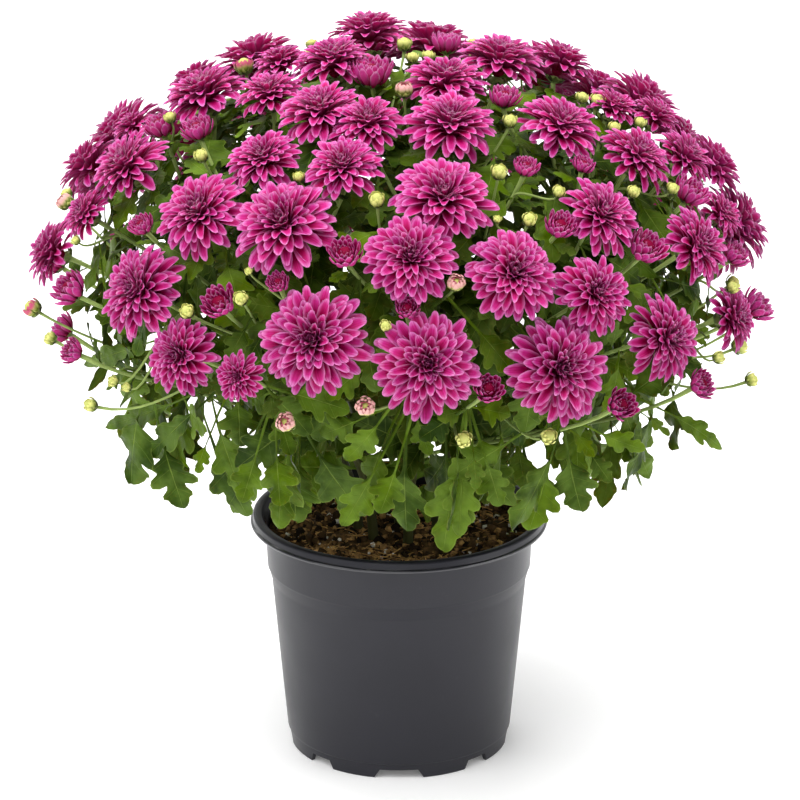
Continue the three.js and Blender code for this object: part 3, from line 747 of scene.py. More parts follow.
@dataclass
class Stock:
    """Points and faces gathered for one piece, in millimetres round the pot's axis.

    Each point has a mark of four numbers, which its finish reads, and says whether it is on an underside.
    Where two rim points share an edge, the surface has a crease.
    """

    points: list[Vector] = field(default_factory=list)
    faces: Faces = field(default_factory=list)
    marks: list[Vector] = field(default_factory=list)
    under: list[Vector] = field(default_factory=list)
    rims: list[Vector] = field(default_factory=list)
    size: int = 0

    def add(
        self, points: Vector, faces: Faces, marks: Vector,
        under: Vector | None = None, rims: Vector | None = None,
    ) -> None:
        """Adds one form.

        Args:
            points: its points.
            faces: its faces, each a list of points of this form.
            marks: its points' marks, or one mark for them all.
            under: how far each point is on an underside.
            rims: which points are on a rim.
        """
        count = len(points)
        self.points.append(points)
        self.faces += [[i + self.size for i in face] for face in faces]
        self.marks.append(np.broadcast_to(marks, (count, 4)))
        self.under.append(np.zeros(count) if under is None else under)
        self.rims.append(np.zeros(count, bool) if rims is None else rims)
        self.size += count

    def piece(self, name: str, finish: Material, slot: str, *nodes: str) -> None:
        """Makes the piece in the frame.

        Args:
            name: its name.
            finish: its material.
            slot: handed on to place_piece.
            nodes: the solids that it replaces.
        """
        mesh = bpy.data.meshes.new(name)
        points = np.concatenate(self.points) * MM + pot_axis()
        mesh.from_pydata(points.tolist(), [], self.faces)
        marks = mesh.attributes.new("mark", "FLOAT_COLOR", "POINT")
        marks.data.foreach_set("color", np.concatenate(self.marks).astype(np.float32).ravel())
        under = mesh.attributes.new("under", "FLOAT", "POINT")
        under.data.foreach_set("value", np.concatenate(self.under).astype(np.float32))
        mesh.shade_smooth()
        rims = np.concatenate(self.rims)
        if rims.any():
            ends = np.zeros(len(mesh.edges) * 2, np.int32)
            mesh.edges.foreach_get("vertices", ends)
            crease = rims[ends.reshape(-1, 2)].all(axis=1)
            sharp = mesh.attributes.new("sharp_edge", "BOOLEAN", "EDGE")
            sharp.data.foreach_set("value", crease)
        mesh.materials.append(finish)
        place_piece(name, mesh, slot, *nodes)


def new_object(name: str, data: ID) -> Object:
    """A new object in the scene, with its mesh, light or camera.

    Args:
        name: its name.
        data: what it shows.

    Returns:
        The object.
    """
    made = bpy.data.objects.new(name, data)
    bpy.context.scene.collection.objects.link(made)
    return made


def place_piece(name: str, mesh: Mesh, slot: str, *nodes: str) -> None:
    """Puts a piece into the scene and ties it to the frame.

    Args:
        name: its name.
        mesh: its mesh.
        slot: not used.
        nodes: the solids that it replaces.
    """
    piece = new_object(name, mesh)
    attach(piece, BODY)
    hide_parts(*nodes)
    log.info("%s: %d faces, stands for %s", name, len(mesh.polygons), ", ".join(nodes))


def pot_axis() -> Vector:
    """Where the pot's axis meets the surface that it stands on, in the frame's metres."""
    low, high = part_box("pot")
    return np.array([(low.x + high.x) / 2, (low.y + high.y) / 2, 0.0])


def marks_of(*parts: Vector | float) -> Vector:
    """Marks of four numbers, each part of which is spread over the same points."""
    return np.stack(np.broadcast_arrays(*parts), -1).astype(float)


def skin(counts: list[int], closed: bool = False) -> Faces:
    """The faces between rings whose points follow one another.

    Two poles in a row end one form and start the next.

    Args:
        counts: how many points each ring has, where a ring of one is a pole.
        closed: whether the last ring joins the first.

    Returns:
        Faces that look outwards where the rings run to the left as they rise.
    """
    starts = np.cumsum([0, *counts]).tolist()
    rings = [range(start, start + count) for start, count in zip(starts, counts)]
    faces = []
    for low, high in zip(rings, rings[1:] + rings[:1] * closed):
        sides = max(len(low), len(high))
        for i in range(sides):
            places = ((low, i), (low, i + 1), (high, i + 1), (high, i))
            faces.append(list(dict.fromkeys(ring[k % len(ring)] for ring, k in places)))
    return [face for face in faces if len(face) > 2]


def sheet_faces(rows: int, columns: int) -> Vector:
    """The faces of a closed sheet: its upper side, and its lower one on the same rim.

    Args:
        rows: its rows of points.
        columns: its points in a row.

    Returns:
        Faces that name the upper points row by row, then the inner points of the lower side.
    """
    up = np.arange(rows * columns).reshape(rows, columns)
    low = up.copy()
    low[1:-1, 1:-1] = np.arange((rows - 2) * (columns - 2)).reshape(rows - 2, columns - 2) + up.size
    upper = np.stack([up[:-1, :-1], up[:-1, 1:], up[1:, 1:], up[1:, :-1]], -1)
    lower = np.stack([low[:-1, :-1], low[1:, :-1], low[1:, 1:], low[:-1, 1:]], -1)
    return np.stack([upper, lower], 2).reshape(-1, 4)


def add_sheets(stock: Stock, grids: Vector, marks: Vector, thickness: float) -> None:
    """Adds closed sheets that are thickest in their middle and share one layout.

    Args:
        stock: what they are added to.
        grids: their points, by sheet, row, column and axis; columns run to the left of the rows' way.
        marks: the marks of the same points.
        thickness: of a sheet at its inner points.
    """
    count, rows, columns, _ = grids.shape
    normal = unit(np.cross(np.gradient(grids, axis=2), np.gradient(grids, axis=1)))
    inner = np.zeros((rows, columns, 1))
    inner[1:-1, 1:-1] = thickness / 2
    upper = (grids + normal * inner).reshape(count, -1, 3)
    lower = (grids - normal * inner)[:, 1:-1, 1:-1].reshape(count, -1, 3)
    lower_marks = marks[:, 1:-1, 1:-1].reshape(count, -1, 4)
    points = np.concatenate([upper, lower], 1)
    point_marks = np.concatenate([marks.reshape(count, -1, 4), lower_marks], 1)
    under = np.concatenate([np.zeros(rows * columns), np.ones(lower.shape[1])])
    rims = np.concatenate([(inner == 0).ravel(), np.zeros(lower.shape[1], bool)])
    steps = np.arange(count) * points.shape[1]
    faces = (sheet_faces(rows, columns) + steps[:, None, None]).reshape(-1, 4)
    under, rims = np.tile(under, count), np.tile(rims, count)
    stock.add(points.reshape(-1, 3), faces.tolist(), point_marks.reshape(-1, 4), under, rims)


def add_tube(stock: Stock, line: Vector, radii: Vector, sides: int, mark: Row) -> None:
    """Adds a closed round tube.

    Args:
        stock: what it is added to.
        line: the points of its middle line.
        radii: its radius at each of them.
        sides: how many sides it has.
        mark: all four numbers of its points' marks, or the last two, where the first two say how far
            along and how far round a point is.
    """
    count = len(line)
    ways = unit(np.gradient(line, axis=0))
    across = np.array([1.0, 0.3, 0.1])
    angles = np.arange(sides) * math.tau / sides
    rings = []
    for point, way, radius in zip(line, ways, radii):
        across = unit(across - way * (across @ way))
        over = np.cross(way, across)
        rings.append(point + radius * (np.outer(np.cos(angles), across) + np.outer(np.sin(angles), over)))
    points = np.concatenate([line[:1] - ways[:1] * 0.1, *rings, line[-1:] + ways[-1:] * 0.1])
    along = np.repeat(np.linspace(0, 1, count), sides)
    around = np.tile(np.abs(np.linspace(-1, 1, sides, endpoint=False)), count)
    first = [] if len(mark) == 4 else [[0, *along, 1], [0, *around, 0]]
    stock.add(points, skin([1, *[sides] * count, 1]), marks_of(*first, *mark))


def bent_line(
    start: Vector, start_way: Vector, end: Vector, end_way: Vector, pull: float, steps: int
) -> Vector:
    """A smooth line between two points.

    Args:
        start: its first point.
        start_way: the way that it starts.
        end: its last point.
        end_way: the way that it ends.
        pull: how strongly both ways bend it, as a share of its length.
        steps: how many points it has.

    Returns:
        The points.
    """
    length = norm(end - start) * pull
    t = np.linspace(0, 1, steps)[:, None]
    first, second = start + start_way * length, end - end_way * length
    return start * (1 - t) ** 3 + first * 3 * t * (1 - t) ** 2 + second * 3 * t * t * (1 - t) + end * t**3


def smooth_line(joints: Vector, steps: int) -> Vector:
    """A smooth line through joints.

    Args:
        joints: the points that it passes.
        steps: how many points it has between two joints.

    Returns:
        The points.
    """
    padded = np.concatenate([2 * joints[:1] - joints[1:2], joints, 2 * joints[-1:] - joints[-2:-1]])
    parts = []
    for i in range(len(joints) - 1):
        a, b, c, d = padded[i : i + 4]
        t = np.arange(steps)[:, None] / steps
        curve = 2 * b + (c - a) * t + (2 * a - 5 * b + 4 * c - d) * t**2 + (3 * b - 3 * c + d - a) * t**3
        parts.append(0.5 * curve)
    return np.concatenate([*parts, joints[-1:]])


# ---- finishes ----


def srgb(red: int, green: int, blue: int) -> Colour:
    """A colour by its display values from 0 to 255, as the linear values that a node takes."""
    shares = (red / 255, green / 255, blue / 255)
    return tuple(v / 12.92 if v <= 0.0405 else ((v + 0.055) / 1.055) ** 2.4 for v in shares)


class Tree:
    """A short way to place nodes in one tree and to join them."""

    def __init__(self, tree: NodeTree, effects: "SharedEffects | None" = None) -> None:
        """Works on the given tree, with the effects that it may place."""
        self.tree, self.effects = tree, effects

    def node(self, kind: str, inputs: dict | None = None, **settings: object) -> Node:
        """Places a node.

        Args:
            kind: Blender's name of the node.
            inputs: for some of its inputs, by name or number, a value or the output that feeds it.
            settings: its own settings.

        Returns:
            The node.
        """
        node = self.tree.nodes.new(kind)
        for name, value in settings.items():
            setattr(node, name, value)
        for key, value in (inputs or {}).items():
            self.feed(node.inputs[key], value)
        return node

    def feed(self, socket: NodeSocket, value: object) -> None:
        """Links an output to a socket, or sets the socket's own value.

        Args:
            socket: the input.
            value: the output, number or colour that it gets.
        """
        if isinstance(value, NodeSocket):
            self.tree.links.new(value, socket)
        elif isinstance(value, tuple) and socket.type == "RGBA":
            socket.default_value = (*value, 1.0)
        else:
            socket.default_value = value

    def dress(self, name: str, value: object) -> None:
        """Feeds an input of the material's shader."""
        self.feed(self.tree.nodes["Principled BSDF"].inputs[name], value)

    def bump(self, height: object, strength: float, distance: float) -> None:
        """Gives the shader a bump, whose height is in metres."""
        node = self.node("ShaderNodeBump", {"Height": height, "Strength": strength, "Distance": distance})
        self.dress("Normal", node.outputs["Normal"])

    def math(self, operation: str, a: object, b: object = 0.0, c: object = 0.0) -> NodeSocket:
        """The result of a sum on one to three numbers."""
        return self.node("ShaderNodeMath", {0: a, 1: b, 2: c}, operation=operation).outputs[0]

    def times(self, a: object, b: object) -> NodeSocket:
        """The product of two numbers."""
        return self.math("MULTIPLY", a, b)

    def step(self, value: object, low: float, high: float) -> NodeSocket:
        """A soft step of a value, from 0 at low to 1 at high."""
        inputs = {"Value": value, "From Min": low, "From Max": high}
        return self.node("ShaderNodeMapRange", inputs, interpolation_type="SMOOTHSTEP").outputs["Result"]

    def mix(self, share: object, a: object, b: object) -> NodeSocket:
        """A mix of two colours."""
        return self.node("ShaderNodeMix", {0: share, 6: a, 7: b}, data_type="RGBA").outputs[2]

    def ramp(self, value: object, places: Row, colours: tuple[Colour, ...]) -> NodeSocket:
        """A colour that runs through several as a value grows.

        Args:
            value: the value.
            places: where it reaches the colours, from 0 to 1.
            colours: the colours.

        Returns:
            The colour.
        """
        node = self.node("ShaderNodeValToRGB", {0: value})
        elements = node.color_ramp.elements
        while len(elements) < len(places):
            elements.new(0.5)
        for element, place, colour in zip(elements, places, colours):
            element.position, element.color = place, (*colour, 1.0)
        return node.outputs["Color"]

    def position(self) -> NodeSocket:
        """The place of a point, in the frame's metres."""
        return self.node("ShaderNodeTexCoord").outputs["Object"]

    def level(self) -> NodeSocket:
        """The height of a point above the floor."""
        return self.node("ShaderNodeSeparateXYZ", {0: self.position()}).outputs["Z"]

    def noise(self, scale: float, detail: float = 3.0, roughness: float = 0.55) -> NodeSocket:
        """Noise over the piece."""
        inputs = {"Vector": self.position(), "Scale": scale, "Detail": detail, "Roughness": roughness}
        return self.node("ShaderNodeTexNoise", inputs).outputs["Fac"]

    def marks(self) -> tuple[NodeSocket, ...]:
        """The four numbers of the points' marks."""
        mark = self.node("ShaderNodeAttribute", attribute_name="mark").outputs
        return *self.node("ShaderNodeSeparateColor", {0: mark["Color"]}).outputs[:3], mark["Alpha"]

    def under(self) -> NodeSocket:
        """How far a place is on an underside."""
        return self.node("ShaderNodeAttribute", attribute_name="under").outputs["Fac"]

    def place(self, group: NodeTree, *values: object) -> NodeOutputs:
        """The outputs of a node group, placed with values for its inputs in their order."""
        return self.node("ShaderNodeGroup", dict(enumerate(values)), node_tree=group).outputs


def new_group(
    name: str, inputs: dict[str, float | Colour], outputs: dict[str, str]
) -> tuple[Tree, list[NodeSocket], NodeInputs]:
    """Starts a shader node group.

    Args:
        name: its name.
        inputs: its inputs by name, with the value that each starts with.
        outputs: its outputs by name, with their socket types.

    Returns:
        The group's tree, the sockets that bring its inputs, and those that take its outputs.
    """
    group = bpy.data.node_groups.new(name, "ShaderNodeTree")
    for key, value in inputs.items():
        kind = "NodeSocketColor" if isinstance(value, tuple) else "NodeSocketFloat"
        socket = group.interface.new_socket(name=key, in_out="INPUT", socket_type=kind)
        socket.default_value = (*value, 1.0) if isinstance(value, tuple) else value
    for key, kind in outputs.items():
        group.interface.new_socket(name=key, in_out="OUTPUT", socket_type=kind)
    given, result = group.nodes.new("NodeGroupInput"), group.nodes.new("NodeGroupOutput")
    return Tree(group), list(given.outputs)[: len(inputs)], result.inputs


class SharedEffects:
    """The effects that more than one finish uses, each a node group that is built once."""

    def __init__(self) -> None:
        """Builds the groups."""
        self.mottle = self.make_mottle()
        self.streaks = self.make_streaks()

    def make_mottle(self) -> NodeTree:
        """Patches of a second colour over a first one.

        Returns:
            The group, which gives the colour and the patches' mask.
        """
        inputs = {"Color": (0.5, 0.5, 0.5), "Patches": (0.3, 0.3, 0.3), "Scale": 200.0, "Amount": 0.5}
        outputs = {"Color": "NodeSocketColor", "Mask": "NodeSocketFloat"}
        tree, (colour, patches, scale, amount), result = new_group("Mottle", inputs, outputs)
        noise = tree.node("ShaderNodeTexNoise", {"Vector": tree.position(), "Scale": scale, "Detail": 4.0})
        mask = tree.step(noise.outputs["Fac"], 0.38, 0.64)
        tree.feed(result["Color"], tree.mix(tree.times(mask, amount), colour, patches))
        tree.feed(result["Mask"], mask)
        return tree.tree

    def make_streaks(self) -> NodeTree:
        """Fine lines that run along a petal, bract or stalk.

        Returns:
            The group, which gives the lines' mask.
        """
        inputs = {"Along": 0.0, "Across": 0.0, "Seed": 0.0, "Lines": 9.0, "Waver": 1.5}
        tree, sockets, result = new_group("Streaks", inputs, {"Mask": "NodeSocketFloat"})
        along, across, seed, lines, waver = sockets
        place = {0: tree.times(across, lines), 1: tree.times(along, waver), 2: tree.times(seed, 40.0)}
        vector = tree.node("ShaderNodeCombineXYZ", place).outputs[0]
        noise = tree.node("ShaderNodeTexNoise", {"Vector": vector, "Scale": 1.0, "Detail": 2.0})
        tree.feed(result["Mask"], tree.step(noise.outputs["Fac"], 0.35, 0.65))
        return tree.tree


@dataclass(frozen=True)
class Finish:
    """What all finishes share: a name, and plain values on the shader's own sockets."""

    name: str
    roughness: float = 0.5
    gloss: float = 0.5
    sheen: float = 0.0
    subsurface: float = 0.0
    coat_roughness: float = 0.25

    def make(self, effects: SharedEffects | None = None) -> Material:
        """Makes the material.

        Args:
            effects: the effects that it may place.

        Returns:
            The material, painted.
        """
        material = bpy.data.materials.new(self.name)
        material.use_nodes = True
        tree = Tree(material.node_tree, effects)
        plain = {
            "Roughness": self.roughness, "Coat Roughness": self.coat_roughness, "Sheen Weight": self.sheen,
            "Sheen Roughness": 0.4, "Specular IOR Level": self.gloss, "Subsurface Weight": self.subsurface,
            "Subsurface Scale": 0.003, "Subsurface Radius": (1.0, 0.45, 0.6),
        }
        for name, value in plain.items():
            tree.dress(name, value)
        self.paint(tree)
        return material

    def paint(self, tree: Tree) -> None:
        """Adds the finish's own nodes, of which a plain finish has none."""


@dataclass(frozen=True)
class PetalFinish(Finish):
    """Velvety petals: crimson at their roots, magenta, and pink at their tips and rims, with painted light
    and shade.
    """

    root: Colour = srgb(98, 0, 34)
    deep: Colour = srgb(128, 0, 54)
    middle: Colour = srgb(146, 0, 74)
    tip: Colour = srgb(178, 40, 120)
    rim: Colour = srgb(212, 118, 184)
    back: Colour = srgb(190, 60, 136)

    def paint(self, tree: Tree) -> None:
        """Paints by the points' marks: along, across, closeness to the heart and tint, lighter with height
        by painted light.

        Args:
            tree: the material's nodes.
        """
        along, across, heart, tint = tree.marks()
        colours = (self.root, self.deep, self.middle, self.tip, self.rim)
        colour = tree.ramp(along, (0.0, 0.28, 0.62, 0.88, 1.0), colours)
        streaks = tree.place(tree.effects.streaks, along, across, tint, 9.0, 1.2)["Mask"]
        colour = tree.mix(tree.times(streaks, 0.5), colour, self.deep)
        off = tree.math("ABSOLUTE", tree.math("MULTIPLY_ADD", across, 2.0, -1.0))
        # Darker down each petal's middle towards its root: partly deeper colour, partly painted shade in
        # the hollow.
        groove = tree.times(tree.step(off, 0.5, 0.0), tree.step(along, 1.0, 0.5))
        colour = tree.mix(tree.times(groove, 0.45), colour, self.deep)
        # Paler towards the edges: partly the petal's paler rim, partly a painted highlight where the rims
        # catch light.
        rim = tree.times(tree.step(off, 0.35, 1.05), tree.step(along, 0.2, 0.85))
        colour = tree.mix(tree.times(rim, 0.56), colour, self.rim)
        shade = tree.times(tree.step(heart, 0.45, 1.0), 0.55)
        colour = tree.mix(shade, colour, tree.mix(tree.step(along, 0.86, 1.0), self.root, self.tip))
        outer = tree.math("MULTIPLY_ADD", tree.step(heart, 0.1, 0.6), -0.45, 0.8)
        behind = tree.times(tree.under(), tree.times(outer, tree.step(along, 0.1, 0.7)))
        colour = tree.mix(behind, colour, self.back)
        # Painted light: petals lighter the higher they grow, which lift carries into the colour's value.
        painted_light_by_height = tree.math("MULTIPLY_ADD", tree.step(tree.level(), 0.2, 0.46), 0.4, 0.7)
        lift = tree.math("MULTIPLY_ADD", tint, 0.22, painted_light_by_height)
        hue = tree.math("MULTIPLY_ADD", tint, 0.012, 0.494)
        grade = tree.node("ShaderNodeHueSaturation", {"Hue": hue, "Value": lift, "Color": colour})
        tree.dress("Base Color", grade.outputs["Color"])
        tree.bump(streaks, 0.35, 0.0004)


@dataclass(frozen=True)
class BudFinish(Finish):
    """The tight petals of a bud: yellow green, with pale or full pink where it is about to open."""

    green_root: Colour = srgb(104, 126, 34)
    green_tip: Colour = srgb(226, 224, 132)
    pale: Colour = srgb(228, 168, 166)
    pink: Colour = srgb(196, 74, 116)

    def paint(self, tree: Tree) -> None:
        """Paints by the points' marks: along, across, closeness to the heart and tint.

        Args:
            tree: the material's nodes.
        """
        along, across, heart, tint = tree.marks()
        green = tree.mix(tree.step(along, 0.1, 0.95), self.green_root, self.green_tip)
        deep = tree.math("MAXIMUM", tree.step(tint, 0.5, 0.75), tree.step(heart, 0.55, 0.8))
        flush = tree.mix(deep, self.pale, self.pink)
        showing = tree.times(tree.step(tint, 0.1, 0.45), tree.step(along, 0.35, 0.75))
        colour = tree.mix(showing, green, flush)
        streaks = tree.place(tree.effects.streaks, along, across, heart, 5.0, 1.0)["Mask"]
        tree.dress("Base Color", tree.mix(tree.times(streaks, 0.22), colour, self.green_root))
        tree.bump(streaks, 0.3, 0.0003)


@dataclass(frozen=True)
class LeafFinish(Finish):
    """Leaves: green with paler veins above, grey green below, lighter where they are young, with painted
    light, shade and sheen.
    """

    old: Colour = srgb(34, 56, 0)
    young: Colour = srgb(108, 138, 2)
    vein: Colour = srgb(142, 164, 70)
    back: Colour = srgb(90, 112, 36)
    patches: Colour = srgb(20, 36, 0)
    # A pale green laid in blotches as painted sheen.
    down: Colour = srgb(126, 156, 64)

    def paint(self, tree: Tree) -> None:
        """Paints by the points' marks: along, across, closeness to a vein and youth, with painted light
        and shade.

        Args:
            tree: the material's nodes.
        """
        _, across, vein, youth = tree.marks()
        # Youth also carries painted light low on the crown and painted shade deep inside it.
        green = tree.mix(youth, self.old, self.young)
        mottled = tree.place(tree.effects.mottle, green, self.patches, 90.0, 0.5)
        side_veins = tree.times(tree.step(vein, 0.86, 1.0), 0.42)
        line = tree.math("MAXIMUM", tree.step(across, 0.05, 0.0), side_veins)
        # Painted sheen: pale blotches of the down colour over the leaf.
        painted_sheen = tree.place(tree.effects.mottle, mottled["Color"], self.down, 50.0, 0.26)["Color"]
        colour = tree.mix(tree.times(line, 0.34), painted_sheen, self.vein)
        # Painted highlight: a pale line along the leaf's edge.
        colour = tree.mix(tree.times(tree.step(across, 0.9, 1.0), 0.25), colour, self.vein)
        colour = tree.mix(tree.times(tree.under(), 0.75), colour, self.back)
        tree.dress("Base Color", colour)
        tree.dress("Roughness", tree.math("MULTIPLY_ADD", mottled["Mask"], 0.15, 0.4))
        fine = tree.math("MULTIPLY_ADD", tree.noise(900.0), 0.4, tree.times(tree.noise(130.0, 1.0), 4.0))
        tree.bump(tree.math("ADD", tree.times(line, -1.0), fine), 0.6, 0.0006)


@dataclass(frozen=True)
class StalkFinish(Finish):
    """Stalks and bracts: pale green with fine ribs, dark woody brown on the shoots from the soil, partly
    painted shade.
    """

    green: Colour = srgb(156, 176, 100)
    dark: Colour = srgb(88, 112, 40)
    # The shoots' dark brown: partly woody colour, partly painted shade under the crown.
    woody_and_shade: Colour = srgb(44, 38, 16)

    def paint(self, tree: Tree) -> None:
        """Paints by the points' marks: along, way round, wood with painted shade, and youth.

        Args:
            tree: the material's nodes.
        """
        along, across, wood_and_shade, youth = tree.marks()
        ribs = tree.place(tree.effects.streaks, along, across, youth, 8.0, 2.0)["Mask"]
        green = tree.mix(tree.times(ribs, 0.55), self.green, self.dark)
        green = tree.mix(tree.times(youth, 0.35), green, self.green)
        mottled = tree.place(tree.effects.mottle, green, self.dark, 150.0, 0.3)
        # Woody brown mixed in: partly the stem's own colour, partly painted shade.
        tree.dress("Base Color", tree.mix(wood_and_shade, mottled["Color"], self.woody_and_shade))
        tree.bump(ribs, 0.4, 0.0004)


@dataclass(frozen=True)
class SoilFinish(Finish):
    """Peat, bark, fibres and perlite, by the tone that each crumb is marked with."""

    black: Colour = srgb(28, 20, 10)
    brown: Colour = srgb(144, 110, 68)
    bark: Colour = srgb(242, 192, 122)
    perlite: Colour = srgb(252, 248, 236)

    def paint(self, tree: Tree) -> None:
        """Paints by the first of the points' marks, from black peat to perlite.

        Args:
            tree: the material's nodes.
        """
        tone = tree.marks()[0]
        colours = (self.black, self.brown, self.bark, self.bark, self.perlite)
        colour = tree.ramp(tone, (0.0, 0.35, 0.7, 0.8, 0.9), colours)
        mottled = tree.place(tree.effects.mottle, colour, self.black, 420.0, 0.45)
        bright = tree.step(tone, 0.82, 0.9)
        tree.dress("Base Color", tree.mix(bright, mottled["Color"], self.perlite))
        tree.bump(tree.noise(700.0, 5.0, 0.7), 0.9, 0.0012)


@dataclass(frozen=True)
class PlasticFinish(Finish):
    """Charcoal moulded plastic: satin, with faint flow marks, fine grain and patches of dust."""

    colour: Colour = srgb(27, 27, 35)
    patches: Colour = srgb(25, 25, 32)
    dust: Colour = srgb(84, 82, 82)
    bead: Row = (0.1416, 0.1421, 0.1436, 0.1441)

    def paint(self, tree: Tree) -> None:
        """Paints the plastic, glossier on the bead under the lip.

        Args:
            tree: the material's nodes.
        """
        mottled = tree.place(tree.effects.mottle, self.colour, self.patches, 24.0, 0.6)
        scuffs = tree.step(tree.noise(160.0, 6.0, 0.75), 0.6, 0.78)
        tree.dress("Base Color", tree.mix(tree.times(scuffs, 0.12), mottled["Color"], self.dust))
        rough = tree.math("MULTIPLY_ADD", mottled["Mask"], 0.06, self.roughness)
        tree.dress("Roughness", tree.math("MULTIPLY_ADD", scuffs, 0.1, rough))
        level, (low, on, off, high) = tree.level(), self.bead
        tree.dress("Coat Weight", tree.times(tree.step(level, low, on), tree.step(level, high, off)))
        tree.bump(tree.noise(1600.0, 2.0), 0.12, 0.0003)


def make_finishes() -> dict[str, Material]:
    """Makes all the materials of the object.

    Returns:
        The materials by name.
    """
    effects = SharedEffects()
    finishes = [
        PetalFinish("petals", roughness=0.55, gloss=0.05, subsurface=0.24),
        BudFinish("bud_petals", roughness=0.55, gloss=0.2, subsurface=0.08),
        LeafFinish("leaves", roughness=0.5, gloss=0.07, subsurface=0.05),
        StalkFinish("stalks", roughness=0.55, gloss=0.2, sheen=0.05, subsurface=0.05),
        SoilFinish("potting_soil", roughness=0.95, gloss=0.15),
        PlasticFinish("pot_plastic", roughness=0.34, gloss=0.34, coat_roughness=0.12),
    ]
    return {finish.name: finish.make(effects) for finish in finishes}


# ---- flower heads ----


@dataclass(frozen=True)
class HeadForm:
    """How the petals of a flower head stand, from its outermost one to its heart.

    Lengths are shares of the head's radius. Each row of numbers holds for the places given by stops, where
    0 is the outermost petal and 1 the innermost. A shape is how many points a petal has along and across,
    and the petals from the heart's place inwards have their own.
    """

    petals: int
    stops: Row
    root_radius: Row
    root_height: Row
    length: Row
    root_tilt: Row
    tip_tilt: Row
    half_width: Row
    curl: Row
    unevenness: float = 0.3
    thickness: float = 0.4
    shape: tuple[int, int] = (5, 3)
    heart: float = 2.0
    heart_shape: tuple[int, int] = (4, 3)

    def at(self, row: Row, places: Vector) -> Vector:
        """A row's values, one below the other, at places from the outermost petal to the innermost."""
        return np.interp(places, self.stops, row)[:, None]

    def add_to(
        self, stock: Stock, seat: Vector, axes: Vector, radius: float, chance: Chance,
        tint: float | None = None, share: float = 1.0,
    ) -> None:
        """Adds the head's petals.

        Args:
            stock: what they are added to.
            seat: the point in the middle of the head's back.
            axes: its three axes as rows, the third one facing out.
            radius: of the head.
            chance: the source of numbers.
            tint: the petals' tint, which is drawn for each if it isn't given.
            share: how many of the form's petals it has.
        """
        count = max(8, round(self.petals * share))
        places = (np.arange(count) + 0.5) / count
        inner = places > self.heart
        for shape, chosen in ((self.shape, ~inner), (self.heart_shape, inner)):
            numbers = np.flatnonzero(chosen)
            if len(numbers):
                grids, marks = self.petal_grids(places[chosen], numbers, shape, radius, chance, tint)
                add_sheets(stock, seat + grids @ axes, marks, self.thickness)

    def petal_grids(
        self, places: Vector, numbers: Vector, shape: tuple[int, int], radius: float,
        chance: Chance, tint: float | None,
    ) -> tuple[Vector, Vector]:
        """The points and marks of petals in the head's own axes.

        Args:
            places: where each petal is, from the outermost to the innermost.
            numbers: the petals' numbers, which turn each a golden angle on.
            shape: how many points a petal has along and across.
            radius: of the head.
            chance: the source of numbers.
            tint: the petals' tint, or None where it is drawn for each.

        Returns:
            The grids by petal, row, column and axis, and their marks.
        """

        def drawn(spread: float) -> Vector:
            """A number of its own for each petal."""
            return np.array([chance.about(spread * self.unevenness) for _ in places])[:, None]

        spare = 1 - 0.6 * places[:, None]
        t = np.linspace(0, 1, shape[0]) ** 0.85
        turn = (numbers * GOLDEN_ANGLE)[:, None] + drawn(0.07)
        tilt_root = np.radians(self.at(self.root_tilt, places) + drawn(6))
        tilt_tip = np.radians(self.at(self.tip_tilt, places) + drawn(15) * spare)
        tilt = tilt_root + (tilt_tip - tilt_root) * t**1.25
        length = radius * self.at(self.length, places) * (1 + drawn(0.075))
        step = length * np.diff(t)
        half = (tilt[:, 1:] + tilt[:, :-1]) / 2
        zero = np.zeros((len(places), 1))
        out = np.concatenate([zero, np.cumsum(np.cos(half) * step, 1)], 1)
        rise = np.concatenate([zero, np.cumsum(np.sin(half) * step, 1)], 1)
        out = out + radius * self.at(self.root_radius, places)
        rise = rise + radius * self.at(self.root_height, places)

        v = np.linspace(-1, 1, shape[1])
        swell = 0.36 + 0.64 * smooth(0.0, 0.62, t)
        taper = 1 - 0.36 * smooth(0.74, 1.0, t)
        wide = radius * self.at(self.half_width, places) * (1 + drawn(0.1)) * (swell * taper)
        curl = self.at(self.curl, places) * (1 + drawn(0.25)) * (1.15 - 0.35 * t)
        wide, curl = wide[:, :, None], curl[:, :, None]
        bend = curl * v
        lift = wide * (1 - np.cos(bend)) / curl
        t = t[:, None]
        blunt = 0.95 * wide * v**2 * t**9
        sway = drawn(0.05)[:, :, None] * length[:, :, None] * t**2
        aside = wide * np.sin(bend) / curl + sway

        way_out, way_up = np.cos(tilt)[:, :, None], np.sin(tilt)[:, :, None]
        out = out[:, :, None] - way_up * lift - way_out * blunt
        rise = rise[:, :, None] + way_out * lift - way_up * blunt
        cosine, sine = np.cos(turn)[:, :, None], np.sin(turn)[:, :, None]
        grids = np.stack([cosine * out + sine * aside, sine * out - cosine * aside, rise], -1)

        own = np.array([chance.draw() if tint is None else tint for _ in places])
        marks = marks_of(t, (v + 1) / 2, places[:, None, None], own[:, None, None])
        return grids, marks


OPEN_BLOOM = HeadForm(
    petals=142,
    stops=(0.0, 0.2, 0.4, 0.6, 0.8, 1.0),
    root_radius=(0.16, 0.15, 0.13, 0.10, 0.07, 0.02),
    root_height=(0.12, 0.17, 0.22, 0.26, 0.29, 0.30),
    length=(0.93, 0.92, 0.84, 0.72, 0.58, 0.44),
    root_tilt=(24, 43, 61, 75, 82, 86),
    tip_tilt=(-40, -24, -4, 26, 70, 120),
    half_width=(0.131, 0.128, 0.124, 0.112, 0.088, 0.06),
    curl=(0.65, 0.72, 0.85, 1.0, 1.25, 1.4),
    unevenness=1.45,
    thickness=0.45,
    shape=(5, 5),
    heart=0.64,
)

